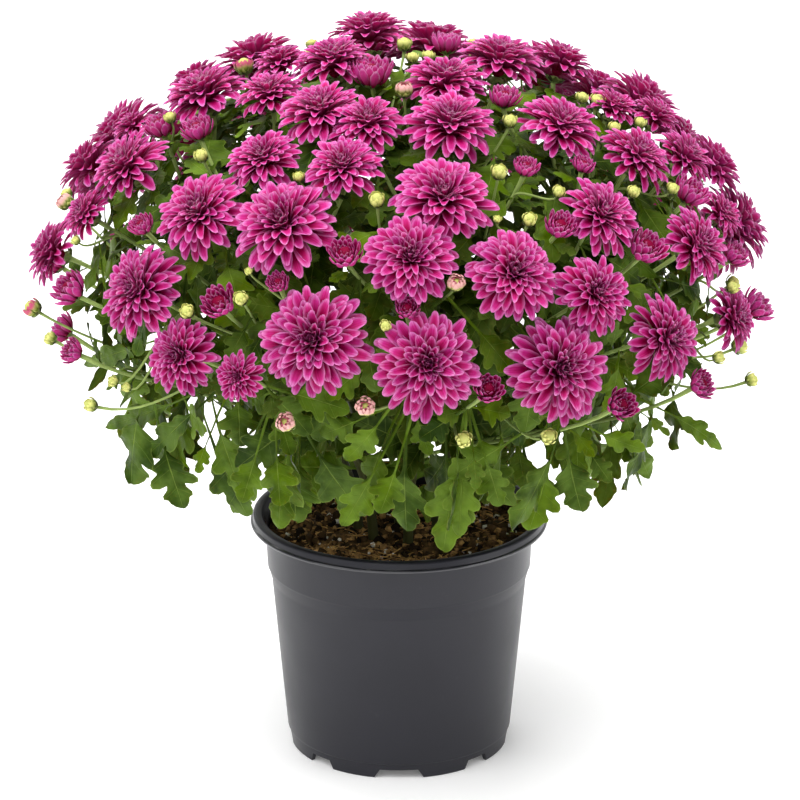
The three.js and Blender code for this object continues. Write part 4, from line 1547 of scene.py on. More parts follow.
HALF_OPEN = HeadForm(
    petals=46,
    stops=(0.0, 0.35, 0.7, 1.0),
    root_radius=(0.42, 0.36, 0.26, 0.1),
    root_height=(0.1, 0.18, 0.26, 0.3),
    length=(1.42, 1.36, 1.12, 0.8),
    root_tilt=(26, 40, 58, 76),
    tip_tilt=(90, 98, 106, 104),
    half_width=(0.27, 0.25, 0.2, 0.13),
    curl=(0.8, 0.85, 0.95, 1.1),
    unevenness=0.7,
    shape=(5, 5),
    heart=0.6,
)

TIGHT_BUD = HeadForm(
    petals=30,
    stops=(0.0, 0.35, 0.7, 1.0),
    root_radius=(0.52, 0.46, 0.38, 0.24),
    root_height=(0.2, 0.34, 0.52, 0.74),
    length=(1.2, 1.05, 0.86, 0.62),
    root_tilt=(40, 54, 70, 86),
    tip_tilt=(126, 142, 158, 172),
    half_width=(0.32, 0.29, 0.24, 0.19),
    curl=(0.8, 0.8, 0.8, 0.8),
)

OPENING_BUD = HeadForm(
    petals=24,
    stops=(0.0, 0.5, 1.0),
    root_radius=(0.52, 0.46, 0.3),
    root_height=(0.2, 0.34, 0.4),
    length=(1.26, 1.14, 0.8),
    root_tilt=(40, 52, 76),
    tip_tilt=(146, 158, 130),
    half_width=(0.34, 0.3, 0.2),
    curl=(0.8, 0.8, 0.9),
)

BRACTS = HeadForm(
    petals=13,
    stops=(0.0, 1.0),
    root_radius=(0.25, 0.2),
    root_height=(0.02, 0.0),
    length=(1.0, 1.0),
    root_tilt=(8, 2),
    tip_tilt=(82, 74),
    half_width=(0.32, 0.34),
    curl=(0.5, 0.5),
    unevenness=0.5,
    shape=(3, 3),
)


# ---- leafy stems ----


@dataclass(frozen=True)
class LeafForm:
    """A leaf's outline and veins, as shares of the blade's length and half width.

    Each station is a vein or a line between two: where it leaves the midrib, where it meets the edge, how
    far out that is, and how close the line is to being a vein.
    """

    stations: tuple[Row, ...]
    columns: Row
    stalk_width: float = 0.9
    thickness: float = 0.7
    pucker: float = 0.03

    def add_to(self, stock: Stock, leaves: list[Leaf], chance: Chance) -> None:
        """Adds leaves.

        Args:
            stock: what they are added to.
            leaves: their places.
            chance: the source of numbers.
        """
        if not leaves:
            return
        made = [self.grid(leaf, chance) for leaf in leaves]
        grids, marks = (np.stack(part) for part in zip(*made))
        add_sheets(stock, grids, marks, self.thickness)

    def grid(self, leaf: Leaf, chance: Chance) -> tuple[Vector, Vector]:
        """One leaf's points and marks.

        Args:
            leaf: its place.
            chance: the source of numbers.

        Returns:
            Its grid by row, column and axis, and the marks.
        """
        bare = max(leaf.bare, 0.14)
        rib, edge_x, edge_y, vein = np.array(self.stations).T
        c = np.array(self.columns)
        lobing = chance.between(0.85, 1.2)
        smooth_edge = np.interp(edge_x, (0, 0.3, 0.6, 0.85, 1), (0.05, 0.6, 0.7, 0.45, 0.02))
        edge_y = smooth_edge + (edge_y - smooth_edge) * lobing
        left, right = chance.between(0.9, 1.08), chance.between(0.9, 1.08)
        wide = edge_y[:, None] * np.where(c < 0, left, right)
        x = rib[:, None] + (edge_x - rib)[:, None] * np.abs(c)
        y = wide * c * leaf.width / 2
        fold, droop = chance.between(0.05, 0.3), chance.between(0.1, 0.35)
        wave, phase = chance.between(0.03, 0.09), chance.between(0, FULL_TURN)
        z = np.abs(y) * fold - droop * wide * c**2 * leaf.width / 2
        z = z + wave * leaf.width * np.sin(phase + 11 * x + 2.2 * np.sign(c)) * c**2
        z = z - self.pucker * leaf.width * vein[:, None] * (np.abs(c) > 0.1) * (np.abs(c) < 0.9)

        stalk_y = self.stalk_width * np.array([[1.1], [0.9]]) * c
        reach = np.concatenate([np.array([[0.0], [0.55]]) * bare + 0 * c, bare + (1 - bare) * x])
        y = np.concatenate([stalk_y, y])
        z = np.concatenate([-0.25 * np.abs(stalk_y), z])
        z = z - leaf.ARCH * chance.between(0.6, 1.7) * leaf.length * reach**2
        y = y + chance.about(0.07) * leaf.length * reach**2
        turn = chance.about(0.25) * reach
        cosine, sine = np.cos(turn), np.sin(turn)
        local = np.stack([reach * leaf.length, y * cosine - z * sine, y * sine + z * cosine], -1)
        grid = leaf.root + local[:, ::-1] @ leaf.axes()

        veins = np.array([0.0, 0.0, *vein])[:, None]
        return grid, marks_of(reach[:, ::-1], np.abs(c), veins, youth_and_painted_light_of(leaf, chance))


LEAF_STATIONS = (
    (0, 0, 0.05, 0), (0.05, 0.11, 0.13, 0), (0.09, 0.18, 0.34, 0), (0.13, 0.24, 0.6, 0),
    (0.16, 0.31, 0.7, 1), (0.2, 0.365, 0.62, 0), (0.24, 0.4, 0.66, 0), (0.28, 0.47, 0.92, 0),
    (0.33, 0.545, 1, 1), (0.38, 0.61, 0.93, 0), (0.43, 0.63, 0.68, 0), (0.48, 0.6, 0.42, 0),
    (0.54, 0.66, 0.42, 0), (0.6, 0.745, 0.58, 0), (0.65, 0.8, 0.58, 1), (0.72, 0.83, 0.44, 0),
    (0.79, 0.89, 0.4, 0.5), (0.88, 0.955, 0.27, 0), (0.95, 0.99, 0.13, 0), (1, 1, 0.02, 0),
)
INNER_STATIONS = tuple(LEAF_STATIONS[i] for i in (0, 2, 4, 6, 8, 10, 11, 14, 16, 18, 19))
FINE_LEAF = LeafForm(LEAF_STATIONS, (-1, -0.55, 0, 0.55, 1))
UPPER_LEAF = LeafForm(LEAF_STATIONS, (-1, 0, 1))
INNER_LEAF = LeafForm(INNER_STATIONS, (-1, 0, 1))


def youth_and_painted_light_of(leaf: Leaf, chance: Chance) -> float:
    """How light a leaf is: small young ones lighter, painted light at the crown's foot, painted shade deep
    inside.

    Args:
        leaf: the leaf.
        chance: the source of numbers.

    Returns:
        Its youth with painted light and shade, from 0 to 1.
    """
    small = 1 - smooth(16, 46, leaf.length * (1 - leaf.bare))
    middle = leaf.at(0.5)
    low, outside = 1 - smooth(170, 250, middle[2]), smooth(0.55, 0.9, CROWN.reach(middle))
    # low lightens leaves at the crown's foot as painted light; outside darkens those deep inside as
    # painted shade.
    light = np.clip(0.12 + 0.3 * small + 0.34 * low + chance.about(0.45), 0, 1)
    return float(light * lerp(0.25, 1, outside) * lerp(0.7, 1, low))


@dataclass
class LeafyStem:
    """One stem with its stalks, leaves, bracts, half-open blooms and buds."""

    plan: StemPlan
    finishes: dict[str, Material]
    shoot_radii: Row = (3.2, 3.2, 2.9, 2.5, 2.2, 1.9)
    stalk_radius: float = 1.2
    bud_stalk_radius: float = 0.8
    small_stalk_radius: Span = (0.85, 0.6)
    stalk_pull: float = 0.22
    low_pull: float = 0.36
    leaf_shares: Row = (0.2, 0.31, 0.42, 0.52, 0.6, 0.68, 0.76, 0.9)
    leaf_length: Span = (44, 17)
    shoot_leaf: Span = (50, 36)
    shoot_leaves: int = 15
    shoot_span: Span = (0.24, 0.97)
    cover: int = 780
    upper_cover: float = 0.62
    reach_high: float = 84
    reach_low: float = 42
    skirt: float = 222
    skirt_foot: float = 160
    skirt_blade: Span = (33, 47)
    cover_blade: Span = (23, 36)
    stalks: Stock = field(default_factory=Stock)
    leaves: Stock = field(default_factory=Stock)
    petals: Stock = field(default_factory=Stock)
    buds: Stock = field(default_factory=Stock)

    # Levels: the least for the tips of loose leaves and of all others, below which leaves are fine, and
    # above which they keep a little inside the crown.
    LOWEST_LOOSE, LOWEST, FINE_BELOW, INSIDE_ABOVE = 150, 174, 265, 300
    BUD_SWELL = 1.22
    TRIES, COVER_TRIES = 7, 8

    def __post_init__(self) -> None:
        """Gives the stem its own source of numbers."""
        self.chance = Chance(100 + self.plan.number)

    def build(self, small_buds: list[Sprout]) -> None:
        """Builds the stem's pieces.

        Args:
            small_buds: the small buds, of which it takes its own.
        """
        plan, node = self.plan, f"leafy_stem_{self.plan.number}"
        shoot = smooth_line(plan.shoot, 6)
        radii = np.interp(np.linspace(0, 5, len(shoot)), range(6), self.shoot_radii)
        # The shoot's 0.9 wood mark makes it dark brown: partly woody colour, partly painted shade.
        add_tube(self.stalks, shoot, radii, sides=10, mark=(0.9, 0.2))
        lines = [self.add_stalk(stalk) for stalk in plan.stalks]
        carriers = [line for stalk, line in zip(plan.stalks, lines) if stalk.sprout.kind is not Kind.BUD]
        for sprout in (s for s in small_buds if plan.carries(s.point)):
            lines.append(self.add_small_bud_stalk(sprout, carriers))
            self.add_head(sprout)
        for stalk in plan.stalks:
            self.add_head(stalk.sprout)
        for leaf in plan.leaves + plan.loose_leaves:
            leaf.face_out()
        inner = self.extra_leaves(shoot, carriers)
        outer = self.cover_leaves(np.concatenate([shoot[8:], *lines]))
        loose = [leaf for leaf in plan.loose_leaves if leaf.corners()[:, 2].min() > self.LOWEST_LOOSE]
        low = [leaf for leaf in outer if leaf.at(1)[2] < self.FINE_BELOW]
        high = [leaf for leaf in outer if leaf.at(1)[2] >= self.FINE_BELOW]
        FINE_LEAF.add_to(self.leaves, plan.leaves + loose + low, self.chance)
        UPPER_LEAF.add_to(self.leaves, high, self.chance)
        INNER_LEAF.add_to(self.leaves, inner, self.chance)
        for part, stock, finish in (
            ("stalks", self.stalks, "stalks"), ("leaves", self.leaves, "leaves"),
            ("half_open", self.petals, "petals"), ("buds", self.buds, "bud_petals"),
        ):
            if stock.size:
                stock.piece(f"{node}_{part}", self.finishes[finish], "foliage", node)

    def add_stalk(self, stalk: Stalk) -> Vector:
        """Adds a stalk.

        Args:
            stalk: where it starts and what it carries.

        Returns:
            The points of its middle line.
        """
        sprout, start, end = stalk.sprout, stalk.joints[0], stalk.sprout.back()
        chord = unit(end - start)
        low = 1 - smooth(250, 310, sprout.point[2])
        leaving = unit(chord + stalk.carrier_along * 0.7 - UP * 0.5 * low)
        arriving = unit(chord + sprout.facing * 0.8 + UP * 0.5 * low)
        pull = lerp(self.stalk_pull, self.low_pull, low)
        line = bent_line(start, leaving, end, arriving, pull, steps=12)
        base = self.bud_stalk_radius if sprout.kind is Kind.BUD else self.stalk_radius
        swell = np.interp(np.linspace(0, 1, len(line)), (0, 0.12, 0.85, 1), (1.25, 1.0, 0.92, 1.3))
        add_tube(self.stalks, line, base * swell, sides=8, mark=(0.0, self.chance.draw()))
        return line

    def add_small_bud_stalk(self, sprout: Sprout, carriers: list[Vector]) -> Vector:
        """Adds the thin stalk of a small bud, from the nearest place on a carrying stalk.

        Args:
            sprout: the bud.
            carriers: the middle lines of the carrying stalks.

        Returns:
            The points of its middle line.
        """
        end = sprout.back()
        places = [(line[k], unit(line[k + 1] - line[k])) for line in carriers for k in (5, 7, 9)]
        inner = [place for place in places if (sprout.point - place[0]) @ place[1] > 8]
        start, along = min(inner or places, key=lambda place: norm(place[0] - end))
        line = bent_line(start, unit(along + sprout.facing), end, sprout.facing, pull=0.3, steps=10)
        radii = np.linspace(*self.small_stalk_radius, len(line))
        add_tube(self.stalks, line, radii, sides=6, mark=(0.0, self.chance.draw()))
        return line

    def add_head(self, sprout: Sprout) -> None:
        """Adds what a stalk carries: the green cup under a bloom, a half-open bloom or a bud.

        Args:
            sprout: what it is.
        """
        axes = basis_round(sprout.facing, self.chance.between(0, FULL_TURN))
        base, radius = sprout.back(), sprout.diameter / 2
        if sprout.kind is Kind.BLOOM:
            BRACTS.add_to(self.stalks, base, axes, 0.25 * radius + 1.2, self.chance, tint=0.5)
            add_dome(self.stalks, base, axes, 0.2 * radius, 0.2 * radius, (0.5, 0.5, 0.0, 0.5))
        elif sprout.kind is Kind.CUP:
            HALF_OPEN.add_to(self.petals, base, axes, radius, self.chance)
            BRACTS.add_to(self.stalks, base, axes, 0.62 * radius, self.chance, tint=0.6)
            inside = base + sprout.facing * 0.3 * radius
            add_dome(self.petals, inside, axes, 0.6 * radius, 0.9 * radius, (0.05, 0.5, 1, 0.5))
        else:
            radius *= self.BUD_SWELL
            form, height = (OPENING_BUD, 0.9) if sprout.tint is Tint.PALE else (TIGHT_BUD, 1.3)
            form.add_to(self.buds, base, axes, radius, self.chance, tint=sprout.tint.value)
            BRACTS.add_to(self.stalks, base, axes, 0.72 * radius, self.chance, tint=0.8)
            inside = base + sprout.facing * 0.1 * radius
            add_dome(self.buds, inside, axes, 0.66 * radius, height * radius, (0.62, 0.5, 1.0, 0.0))

    def extra_leaves(self, shoot: Vector, carriers: list[Vector]) -> list[Leaf]:
        """The leaves that fill the crown between those of the solid.

        Args:
            shoot: the middle line of the stem's own shoot.
            carriers: the middle lines of its carrying stalks.

        Returns:
            The leaves that found room.
        """
        chance, places = self.chance, []
        for i in range(self.shoot_leaves):
            share = lerp(*self.shoot_span, i / (self.shoot_leaves - 1))
            places.append((*place_on(shoot, share), lerp(*self.shoot_leaf, share), i))
        for number, line in enumerate(carriers):
            for i, share in enumerate(self.leaf_shares):
                places.append((*place_on(line, share), lerp(*self.leaf_length, share), 3 * number + i))
        made = []
        for root, along, length, turn in places:
            for trial in range(self.TRIES):
                outward = CROWN.outward(root)
                side = unit(np.cross(along, UP + 0.01 * outward))
                way = turned_about(side, along, (turn + trial) * GOLDEN_ANGLE + chance.about(0.4))
                direction = along * chance.between(0.3, 0.8) + way + outward * 0.35
                size = length * chance.between(0.8, 1.15) * 0.95**trial
                upper = outward + UP * 0.8 + np.array([chance.about(0.3), chance.about(0.3), 0.0])
                leaf = Leaf(root, direction, upper, size, size * chance.between(0.6, 0.74), 0.2)
                if self.fits(leaf):
                    made.append(leaf)
                    break
        return made

    def cover_leaves(self, places: Vector) -> list[Leaf]:
        """The leaves that close the crown's outside between the blooms.

        Args:
            places: the points of all the stem's lines, from which they may grow.

        Returns:
            The leaves that found room.
        """
        made = []
        for i in range(self.cover):
            share = (i + 0.5) / self.cover
            if share < self.upper_cover:
                z = CROWN.widest + CROWN.rise * (1 - (share / self.upper_cover) ** 1.2)
            else:
                down = (share - self.upper_cover) / (1 - self.upper_cover)
                z = lerp(CROWN.widest, self.skirt_foot, down**1.9)
            surface = CROWN.at(i * GOLDEN_ANGLE, z)
            if not self.plan.carries(surface):
                continue
            for _ in range(self.COVER_TRIES):
                leaf = self.cover_leaf(surface, places)
                if leaf and self.fits(leaf):
                    made.append(leaf)
                    break
        return made

    def cover_leaf(self, surface: Vector, places: Vector) -> Leaf | None:
        """One leaf with its blade under a point of the crown's surface.

        Args:
            surface: the point.
            places: where it may grow from.

        Returns:
            The leaf, or None where no stalk is near enough.
        """
        chance, high = self.chance, surface[2] > CROWN.widest
        level = UP * CROWN.widest
        skirt = surface[2] < self.skirt
        low_depth, high_depth = (0.8, 1.0) if skirt else (0.55, 0.93) if high else (0.62, 0.9)
        depth = lerp(high_depth, low_depth, chance.draw() ** (1.6 if high else 1.0))
        middle = level + (surface - level) * depth
        outward = CROWN.outward(middle)
        down = unit(outward * outward[2] - UP + 0.05 * unit(surface - level))
        heading = turned_about(down, outward, chance.about(1.2))
        if skirt:
            heading = unit(heading + outward * chance.between(0.0, 1.1))
        blade = chance.between(*(self.skirt_blade if skirt else self.cover_blade))
        tip = middle + heading * blade * 0.55
        base = middle - heading * blade * 0.45
        away = norm(places - (base - outward * 8 - heading * 6), axis=1)
        root = places[int(np.argmin(away))]
        along = tip - root
        length = float(norm(along))
        if away.min() > (self.reach_high if high else self.reach_low) or length < blade:
            return None
        bare = min(max(1 - blade / length, 0.12), 0.72)
        loose = 0.85 if skirt else 0.5
        sway = np.array([chance.about(1), chance.about(1), chance.about(0.6)])
        upper = outward + UP * 0.3 + loose * sway
        return Leaf(root, along, upper, length, blade * chance.between(0.68, 0.84), bare)

    def fits(self, leaf: Leaf) -> bool:
        """Looks whether there is room for a leaf.

        Args:
            leaf: the leaf.

        Returns:
            Whether it keeps inside the crown, above the pot and out of the blooms.
        """
        points = leaf.corners()
        reach = max(CROWN.reach(point) for point in points)
        most = 0.95 if points[4][2] > self.INSIDE_ABOVE else 1.02
        inside = reach <= most and points[:, 2].min() >= self.LOWEST
        return inside and self.plan.clear_of_blooms(points, 0.5)


def add_dome(
    stock: Stock, base: Vector, axes: Vector, radius: float, height: float, mark: Row
) -> None:
    """Adds a small closed dome, such as the body inside a bud.

    Args:
        stock: what it is added to.
        base: the middle of its back.
        axes: its three axes as rows, the third one facing out.
        radius: its radius.
        height: its height.
        mark: the mark of all its points.
    """
    line = base + np.outer(np.array([0.0, 0.15, 0.4, 0.65, 0.85, 0.97]) * height, axes[2])
    radii = radius * np.array([0.35, 0.75, 1.0, 0.92, 0.62, 0.28])
    add_tube(stock, line, radii, sides=8, mark=mark)


# ---- open blooms ----


@dataclass
class Blooms:
    """The open blooms, each in the piece that stands for its own solid.

    Blooms of the smaller size have the smaller share of a form's petals.
    """

    sprouts: list[Sprout]
    finishes: dict[str, Material]
    height: float = 0.42
    match: float = 0.2
    fullness: float = 1.03
    sizes: Span = (28, 50)
    shares: Span = (0.62, 1.0)
    nodes: list[str] = field(init=False)

    def __post_init__(self) -> None:
        """Finds each bloom's own solid, as long as the blooms face as the solids do."""
        axis = pot_axis()
        corners = {}
        for name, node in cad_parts.items():
            if name.startswith(("bloom_", "bunch_")):
                corners[name] = (np.array([v.co[:] for v in node.data.vertices]) - axis) / MM
        self.nodes = [self.node_of(bloom, corners) for bloom in self.sprouts]

    def seat(self, bloom: Sprout) -> Vector:
        """The middle of a bloom's back."""
        return bloom.point - bloom.facing * 0.5 * self.height * bloom.diameter

    def node_of(self, bloom: Sprout, corners: dict[str, Vector]) -> str:
        """The solid that holds a bloom, which has a corner at the bloom's heart.

        Args:
            bloom: the bloom.
            corners: each solid's corners, by its name.

        Returns:
            The solid's name.
        """
        heart = self.seat(bloom) + bloom.facing * self.height * bloom.diameter
        away = {name: norm(points - heart, axis=1).min() for name, points in corners.items()}
        nearest = min(away, key=away.get)
        if away[nearest] > self.match:
            raise ValueError(f"no solid has its heart at {heart}")
        return nearest

    def build(self) -> None:
        """Builds a piece for each bloom or bunch."""
        stocks = {name: Stock() for name in sorted(set(self.nodes))}
        for i, (bloom, node) in enumerate(zip(self.sprouts, self.nodes)):
            chance = Chance(500 + i)
            axes = basis_round(bloom.facing, i * GOLDEN_ANGLE)
            radius = bloom.diameter / 2 * self.fullness
            share = float(np.interp(bloom.diameter, self.sizes, self.shares))
            stock = stocks[node]
            OPEN_BLOOM.add_to(stock, self.seat(bloom), axes, radius, chance, share=share)
            add_dome(stock, self.seat(bloom), axes, 0.2 * radius, 0.5 * radius, (0.0, 0.5, 1.0, 0.5))
        for name, stock in stocks.items():
            stock.piece(f"{name}_petals", self.finishes["petals"], "petal", name)


# ---- pot, soil ----


@dataclass
class Pot:
    """A moulded nursery pot with a rolled lip, a collar, a shoulder and a notched foot.

    The outline's long parts have points at the crisp distance from their ends.
    """

    finish: Material
    height: float = 148
    rim_radius: float = 90
    lip_height: float = 6.5
    collar_radius: float = 81
    collar_foot_radius: float = 79.8
    collar_height: float = 33
    shoulder_height: float = 7
    body_radius: float = 77.2
    body_foot_radius: float = 68.4
    foot_radius: float = 66.5
    foot_band: float = 10
    foot_width: float = 3
    wall: float = 1.6
    floor_underside: float = 6.2
    notches: int = 8
    notch_height: float = 5.8
    notch_low: float = 30
    notch_high: float = 23
    narrow: float = 0.62
    drain_radius: float = 5
    drain_circle: float = 55
    sides: int = 144
    crisp: float = 0.5

    def profile(self) -> Outline:
        """The closed outline of the wall.

        Returns:
            Radii and heights, from the foot's inside up round the lip and down to the floor.
        """
        top, under, floor = self.height, self.height - self.lip_height, self.floor_underside
        shoulder = top - self.collar_height
        shoulder_foot = shoulder - self.shoulder_height
        rim, collar, neck, wall = self.rim_radius, self.collar_radius, self.collar_foot_radius, self.wall
        body, low, foot, band = self.body_radius, self.body_foot_radius, self.foot_radius, self.foot_band
        outside = [
            (foot - self.foot_width, 0.0), (foot - 0.6, 0.0), (foot, 0.6), (low - 1.1, band - 0.9),
            (low - 0.9, band - 0.5), (low - 0.2, band - 0.1), (low, band + 0.5),
            (body, shoulder_foot - 1.5), (body + 0.3, shoulder_foot - 0.2), (neck - 0.5, shoulder - 0.7),
            (neck, shoulder + 0.2), (collar, under - 1.4), (collar + 0.5, under - 0.4),
            (collar + 1.5, under),
        ]
        lip = [
            (rim - 0.9, under), (rim - 0.25, under + 0.25), (rim, under + 0.8), (rim - 0.1, under + 1.35),
            (rim - 0.4, under + 1.8), (rim - 0.9, under + 2.1), (rim - 1.3, under + 2.3),
            (rim - 1.5, under + 2.8), (rim - 1.6, top - 1.5), (rim - 1.9, top - 0.8),
            (rim - 2.5, top - 0.25), (rim - 3.4, top), (rim - 5.6, top - 0.1), (rim - 6.7, top - 0.7),
            (rim - 7.3, top - 2.2),
        ]
        inside = [
            (collar - wall + 0.3, under - 1.0), (collar - wall, under - 2.5), (neck - wall, shoulder),
            (body - wall, shoulder_foot), (low - wall, floor + wall), (0.0, floor + wall), (0.0, floor),
            (foot - self.foot_width, floor),
        ]
        return self.supported(outside + lip + inside)

    def supported(self, outline: Outline) -> Outline:
        """Adds points close to the ends of an outline's long parts, which keep its bends crisp.

        Args:
            outline: the outline.

        Returns:
            It with the points added.
        """
        made = []
        for (radius, z), after in zip(outline, outline[1:] + outline[:1]):
            made.append((radius, z))
            length = math.hypot(after[0] - radius, after[1] - z)
            if length > 4 and min(radius, after[0]) > 0:
                for share in (self.crisp / length, 0.5, 1 - self.crisp / length):
                    made.append((lerp(radius, after[0], share), lerp(z, after[1], share)))
        return made

    def solid(self, name: str, rings: list[list[Vector]], closed: bool) -> Object:
        """A body that is skinned over rings of points.

        Args:
            name: its name.
            rings: the rings, in millimetres.
            closed: whether the last ring joins the first.

        Returns:
            The object, in the frame's metres.
        """
        mesh = bpy.data.meshes.new(name)
        points = np.array([point for ring in rings for point in ring]) * MM + pot_axis()
        mesh.from_pydata(points.tolist(), [], skin([len(ring) for ring in rings], closed))
        return new_object(name, mesh)

    def ring(self, radius: float, z: float, sides: int, middle: Vector | float = 0.0) -> list[Vector]:
        """The points of a level ring round a middle, or a pole where its radius is none."""
        return [middle + polar(radius, i * math.tau / sides, z) for i in range(sides if radius else 1)]

    def cutter_rings(self) -> list[list[Vector]]:
        """What is cut out of the pot's foot and floor.

        Returns:
            The rings of the notches' wedges and the drain holes' cores, each between two poles.
        """
        rings = []
        low, high = self.floor_underside - 2, self.floor_underside + self.wall + 2
        for k in range(self.notches):
            angle = k * math.tau / self.notches - math.pi / 2
            out, side = polar(1, angle, 0), polar(1, angle + math.pi / 2, 0)
            wide = 1.0 if k % 2 == 0 else self.narrow
            foot, top = wide * self.notch_low / 2 + 0.7, wide * self.notch_high / 2
            section = [(-foot, -1.0), (foot, -1.0), (top, self.notch_height), (-top, self.notch_height)]
            ends = [out * (self.foot_radius + reach * self.foot_width) for reach in (-2, 1)]
            wedge = [[end + side * x + UP * z for x, z in section] for end in ends]
            rings += [ends[:1], *wedge, ends[1:]]
            for radius, z in ((0, low), (self.drain_radius, low), (self.drain_radius, high), (0, high)):
                rings.append(self.ring(radius, z, 24, out * self.drain_circle))
        return rings

    def build(self) -> None:
        """Turns the pot, cuts its notches and holes, and dresses it."""
        body = self.solid("pot_body", [self.ring(*place, self.sides) for place in self.profile()], True)
        cutters = self.solid("pot_cutters", self.cutter_rings(), False)
        cut = body.modifiers.new("cut", "BOOLEAN")
        cut.operation, cut.solver, cut.object = "DIFFERENCE", "EXACT", cutters
        bpy.context.view_layer.update()
        evaluated = body.evaluated_get(bpy.context.evaluated_depsgraph_get())
        mesh = bpy.data.meshes.new_from_object(evaluated)
        for spare in (body, cutters):
            bpy.data.objects.remove(spare)
        mesh.materials.clear()
        mesh.materials.append(self.finish)
        mesh.shade_smooth()
        mesh.set_sharp_from_angle(angle=math.radians(38))
        place_piece("pot_body", mesh, "pot_plastic", "pot")


@dataclass
class Soil:
    """Potting soil: an uneven bed of crumbs, fibres, bark and perlite."""

    finish: Material
    level: float = 136
    roughness: float = 1.6
    radius: float = 79.0
    rings: int = 24
    sides: int = 80
    crumbs: int = 1250
    crumb_size: Span = (0.9, 3.0)
    chips: int = 110
    chip_size: Span = (2.0, 4.2)
    perlite: int = 150
    perlite_size: Span = (0.9, 2.6)
    fibres: int = 260
    fibre_length: Span = (5, 24)
    fibre_radius: Span = (0.22, 0.5)
    stock: Stock = field(default_factory=Stock)
    chance: Chance = field(default_factory=lambda: Chance(7))

    # The bed's radius and height up along the pot's wall.
    WALL = ((65.0, 8.0), (75.0, 108.0), (77.8, 116.0))

    def level_at(self, x: float, y: float) -> float:
        """The height of the soil's uneven surface."""
        lumps = np.sin(x * 0.11 + 1.3) * np.cos(y * 0.13) + 0.6 * np.sin(x * 0.05 - y * 0.21)
        return self.level + self.roughness * lumps

    def build(self) -> None:
        """Builds the bed and what lies in it."""
        chance = self.chance
        self.add_bed()
        for _ in range(self.crumbs):
            size = chance.between(*self.crumb_size) * (1.5 if chance.draw() > 0.9 else 1.0)
            self.add_lump(size, 0.55 * chance.draw() ** 2, 0.1)
        for _ in range(self.chips):
            self.add_lump(chance.between(*self.chip_size), chance.between(0.5, 0.75), 0.55)
        for _ in range(self.perlite):
            self.add_lump(lerp(*self.perlite_size, chance.draw() ** 1.6), 0.95, 0.1)
        for _ in range(self.fibres):
            self.add_fibre()
        self.stock.piece("soil_bed", self.finish, "potting_soil", "soil")

    def add_bed(self) -> None:
        """Adds the bed itself, closed down to the pot's floor."""
        points, marks = [UP * self.WALL[0][1]], [0.1]
        rows = [(radius, z, False) for radius, z in self.WALL]
        rows += [(self.radius * (1 - k / self.rings), self.level, True) for k in range(self.rings)]
        for radius, z, surface in rows:
            for i in range(self.sides):
                place = polar(radius, i * math.tau / self.sides, z)
                if surface:
                    edge = radius > self.radius - 1
                    place[2] = self.level_at(place[0], place[1]) + (0 if edge else self.chance.about(0.9))
                points.append(place)
                marks.append(self.chance.between(0.0, 0.3))
        points.append(UP * self.level_at(0, 0))
        tones = np.zeros((len(points), 4))
        tones[:, 0] = [*marks, 0.1]
        self.stock.add(np.array(points), skin([1, *[self.sides] * len(rows), 1]), tones)

    def spot(self, margin: float) -> Vector:
        """A place on the soil's surface, evenly over its area, that keeps a margin to the wall."""
        radius = (self.radius - margin) * math.sqrt(self.chance.draw())
        return self.on_surface(polar(radius, self.chance.between(0, math.tau), 0))

    def on_surface(self, place: Vector) -> Vector:
        """The place on the soil's surface above or below a point."""
        return np.array([*place[:2], self.level_at(*place[:2])])

    def add_lump(self, size: float, tone: float, flatness: float) -> None:
        """Adds a crumb, chip or grain that is half sunk into the bed.

        Args:
            size: its radius.
            tone: its mark, from black peat to perlite.
            flatness: how much flatter than round it is.
        """
        chance, place = self.chance, self.spot(size + 1)
        leaning = unit(np.array([chance.about(0.6), chance.about(0.6), 1.0]))
        axes = basis_round(leaning, chance.between(0, FULL_TURN))
        stretch = np.array([chance.between(0.8, 1.3), chance.between(0.6, 1.0), 1 - flatness])
        points = [-UP]
        for height, width in ((-0.45, 0.85), (0.4, 0.85)):
            points += [polar(width, i * math.tau / 5 + height, height) for i in range(5)]
        shaped = np.array([*points, UP]) * stretch
        shaped = shaped * np.array([1 + chance.about(0.28) for _ in shaped])[:, None] * size
        lift = UP * size * (1 - flatness) * chance.between(-0.1, 0.5)
        self.stock.add(place + lift + shaped @ axes, skin([1, 5, 5, 1]), np.array([tone, 0, 0, 0]))

    def add_fibre(self) -> None:
        """Adds a bent fibre that lies on the crumbs."""
        chance, place = self.chance, self.spot(12)
        if chance.draw() < 0.5:
            radius, angle = chance.between(50, 71), math.radians(chance.between(215, 285))
            place = self.on_surface(polar(radius, angle, 0))
        place = place + UP * chance.between(0.8, 2.2)
        way = polar(1, chance.between(0, FULL_TURN), chance.about(0.15))
        side = np.cross(way, UP)
        length, bow = lerp(*self.fibre_length, chance.draw() ** 2), chance.about(3)
        t = np.linspace(-0.5, 0.5, 6)[:, None]
        line = place + way * length * t + side * bow * (4 * t**2 - 0.5) + UP * chance.about(0.8) * t
        radius, tone = chance.between(*self.fibre_radius), chance.between(0.45, 0.8)
        add_tube(self.stock, line, np.full(6, radius), sides=3, mark=(tone, 0.0, 0.0, 0.0))


# ---- the studio ----


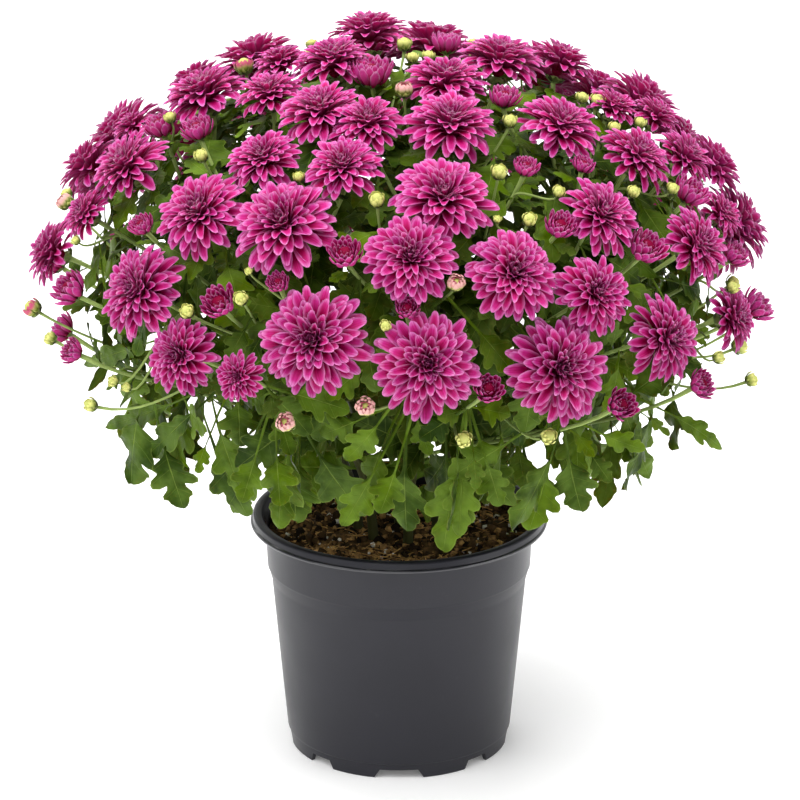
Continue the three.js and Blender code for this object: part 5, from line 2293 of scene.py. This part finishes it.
@dataclass
class Studio:
    """A plain pale floor, soft lights and the camera."""

    floor_size: float = 12.0
    world: float = 0.5
    floor_tone: float = 0.96
    floor_glow: float = 0.11
    camera_height: float = 0.980
    camera_back: float = 2.2
    camera_aside: float = 0.0006
    camera_tilt: float = 70.9
    lens: float = 174.8
    aim: Row = (0.0, 0.0, 0.25)

    # Each light's name, place and size in metres, and power in watts.
    LIGHTS = (
        ("key", (-1.8, -1.5, 2.5), 2.2, 50.0), ("front", (-0.5, -2.8, 1.6), 1.8, 13.0),
        ("fill", (2.4, -0.8, 1.0), 1.8, 19.0), ("back", (-0.8, 2.3, 2.2), 2.4, 42.0),
        ("top", (0.0, -0.3, 3.0), 3.0, 118.0),
    )

    def build(self) -> None:
        """Builds the floor, the lights and the camera."""
        self.add_floor()
        for light in self.LIGHTS:
            self.add_light(*light)
        world = bpy.data.worlds.new("studio")
        world.use_nodes = True
        background = world.node_tree.nodes["Background"].inputs
        background["Color"].default_value = (1, 1, 1, 1)
        background["Strength"].default_value = self.world
        bpy.context.scene.world = world
        bpy.context.scene.view_settings.view_transform = "Standard"
        self.add_camera()

    def add_floor(self) -> None:
        """Adds the floor."""
        half = self.floor_size / 2
        mesh = bpy.data.meshes.new("floor")
        corners = [(x * half, y * half, 0) for x, y in ((-1, -1), (1, -1), (1, 1), (-1, 1))]
        mesh.from_pydata(corners, [], [(0, 1, 2, 3)])
        material = Finish("floor", roughness=0.9).make()
        tree = Tree(material.node_tree)
        tree.dress("Base Color", (self.floor_tone,) * 3)
        tree.dress("Emission Color", (1.0, 1.0, 1.0))
        tree.dress("Emission Strength", self.floor_glow)
        mesh.materials.append(material)
        new_object("floor", mesh)

    def add_light(self, name: str, place: Row, size: float, power: float) -> None:
        """Adds a soft square light that points at the plant.

        Args:
            name: its name.
            place: where it is.
            size: its side.
            power: in watts.
        """
        data = bpy.data.lights.new(name, "AREA")
        data.size, data.energy = size, power
        light = new_object(name, data)
        light.location = place
        way = np.array(self.aim) - np.array(place)
        flat = math.hypot(way[0], way[1])
        light.rotation_euler = (math.pi / 2 - math.atan2(-way[2], flat), 0, math.atan2(-way[0], way[1]))

    def add_camera(self) -> None:
        """Adds the camera, in front of the pot's axis."""
        axis = pot_axis()
        data = bpy.data.cameras.new("camera")
        data.lens, data.sensor_width = self.lens, 36.0
        camera = new_object("camera", data)
        camera.location = (axis[0] + self.camera_aside, axis[1] - self.camera_back, self.camera_height)
        camera.rotation_euler = (math.radians(self.camera_tilt), 0, 0)
        bpy.context.scene.camera = camera


def main() -> None:
    """Builds the studio and every piece; each piece logs how many faces it has."""
    logging.basicConfig(level=logging.INFO, format="%(name)s: %(message)s")
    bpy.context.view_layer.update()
    Studio().build()
    finishes = make_finishes()
    Pot(finishes["pot_plastic"]).build()
    Soil(finishes["potting_soil"]).build()
    sprouts = lay_out_sprouts()
    fringe = lay_out_fringe()
    blooms = [sprout for sprout in sprouts if sprout.kind is Kind.BLOOM]
    small_buds = front_sprouts(Kind.BUD, SMALL_BUDS)
    others = sprouts + small_buds
    small_buds += BackRule(Chance(31)).gaps(Kind.BUD, count=26, diameter=(6, 9), lowest=330, others=others)
    plans = [StemPlan(number, blooms) for number in range(8)]
    for plan in plans:
        plan.grow(sprouts, fringe)
    heads = Blooms(blooms, finishes)
    for sprout in sprouts + small_buds:
        sprout.lift()
    for plan in plans:
        LeafyStem(plan, finishes).build(small_buds)
    heads.build()
    bpy.context.view_layer.update()


if __name__ == "__main__":
    main()
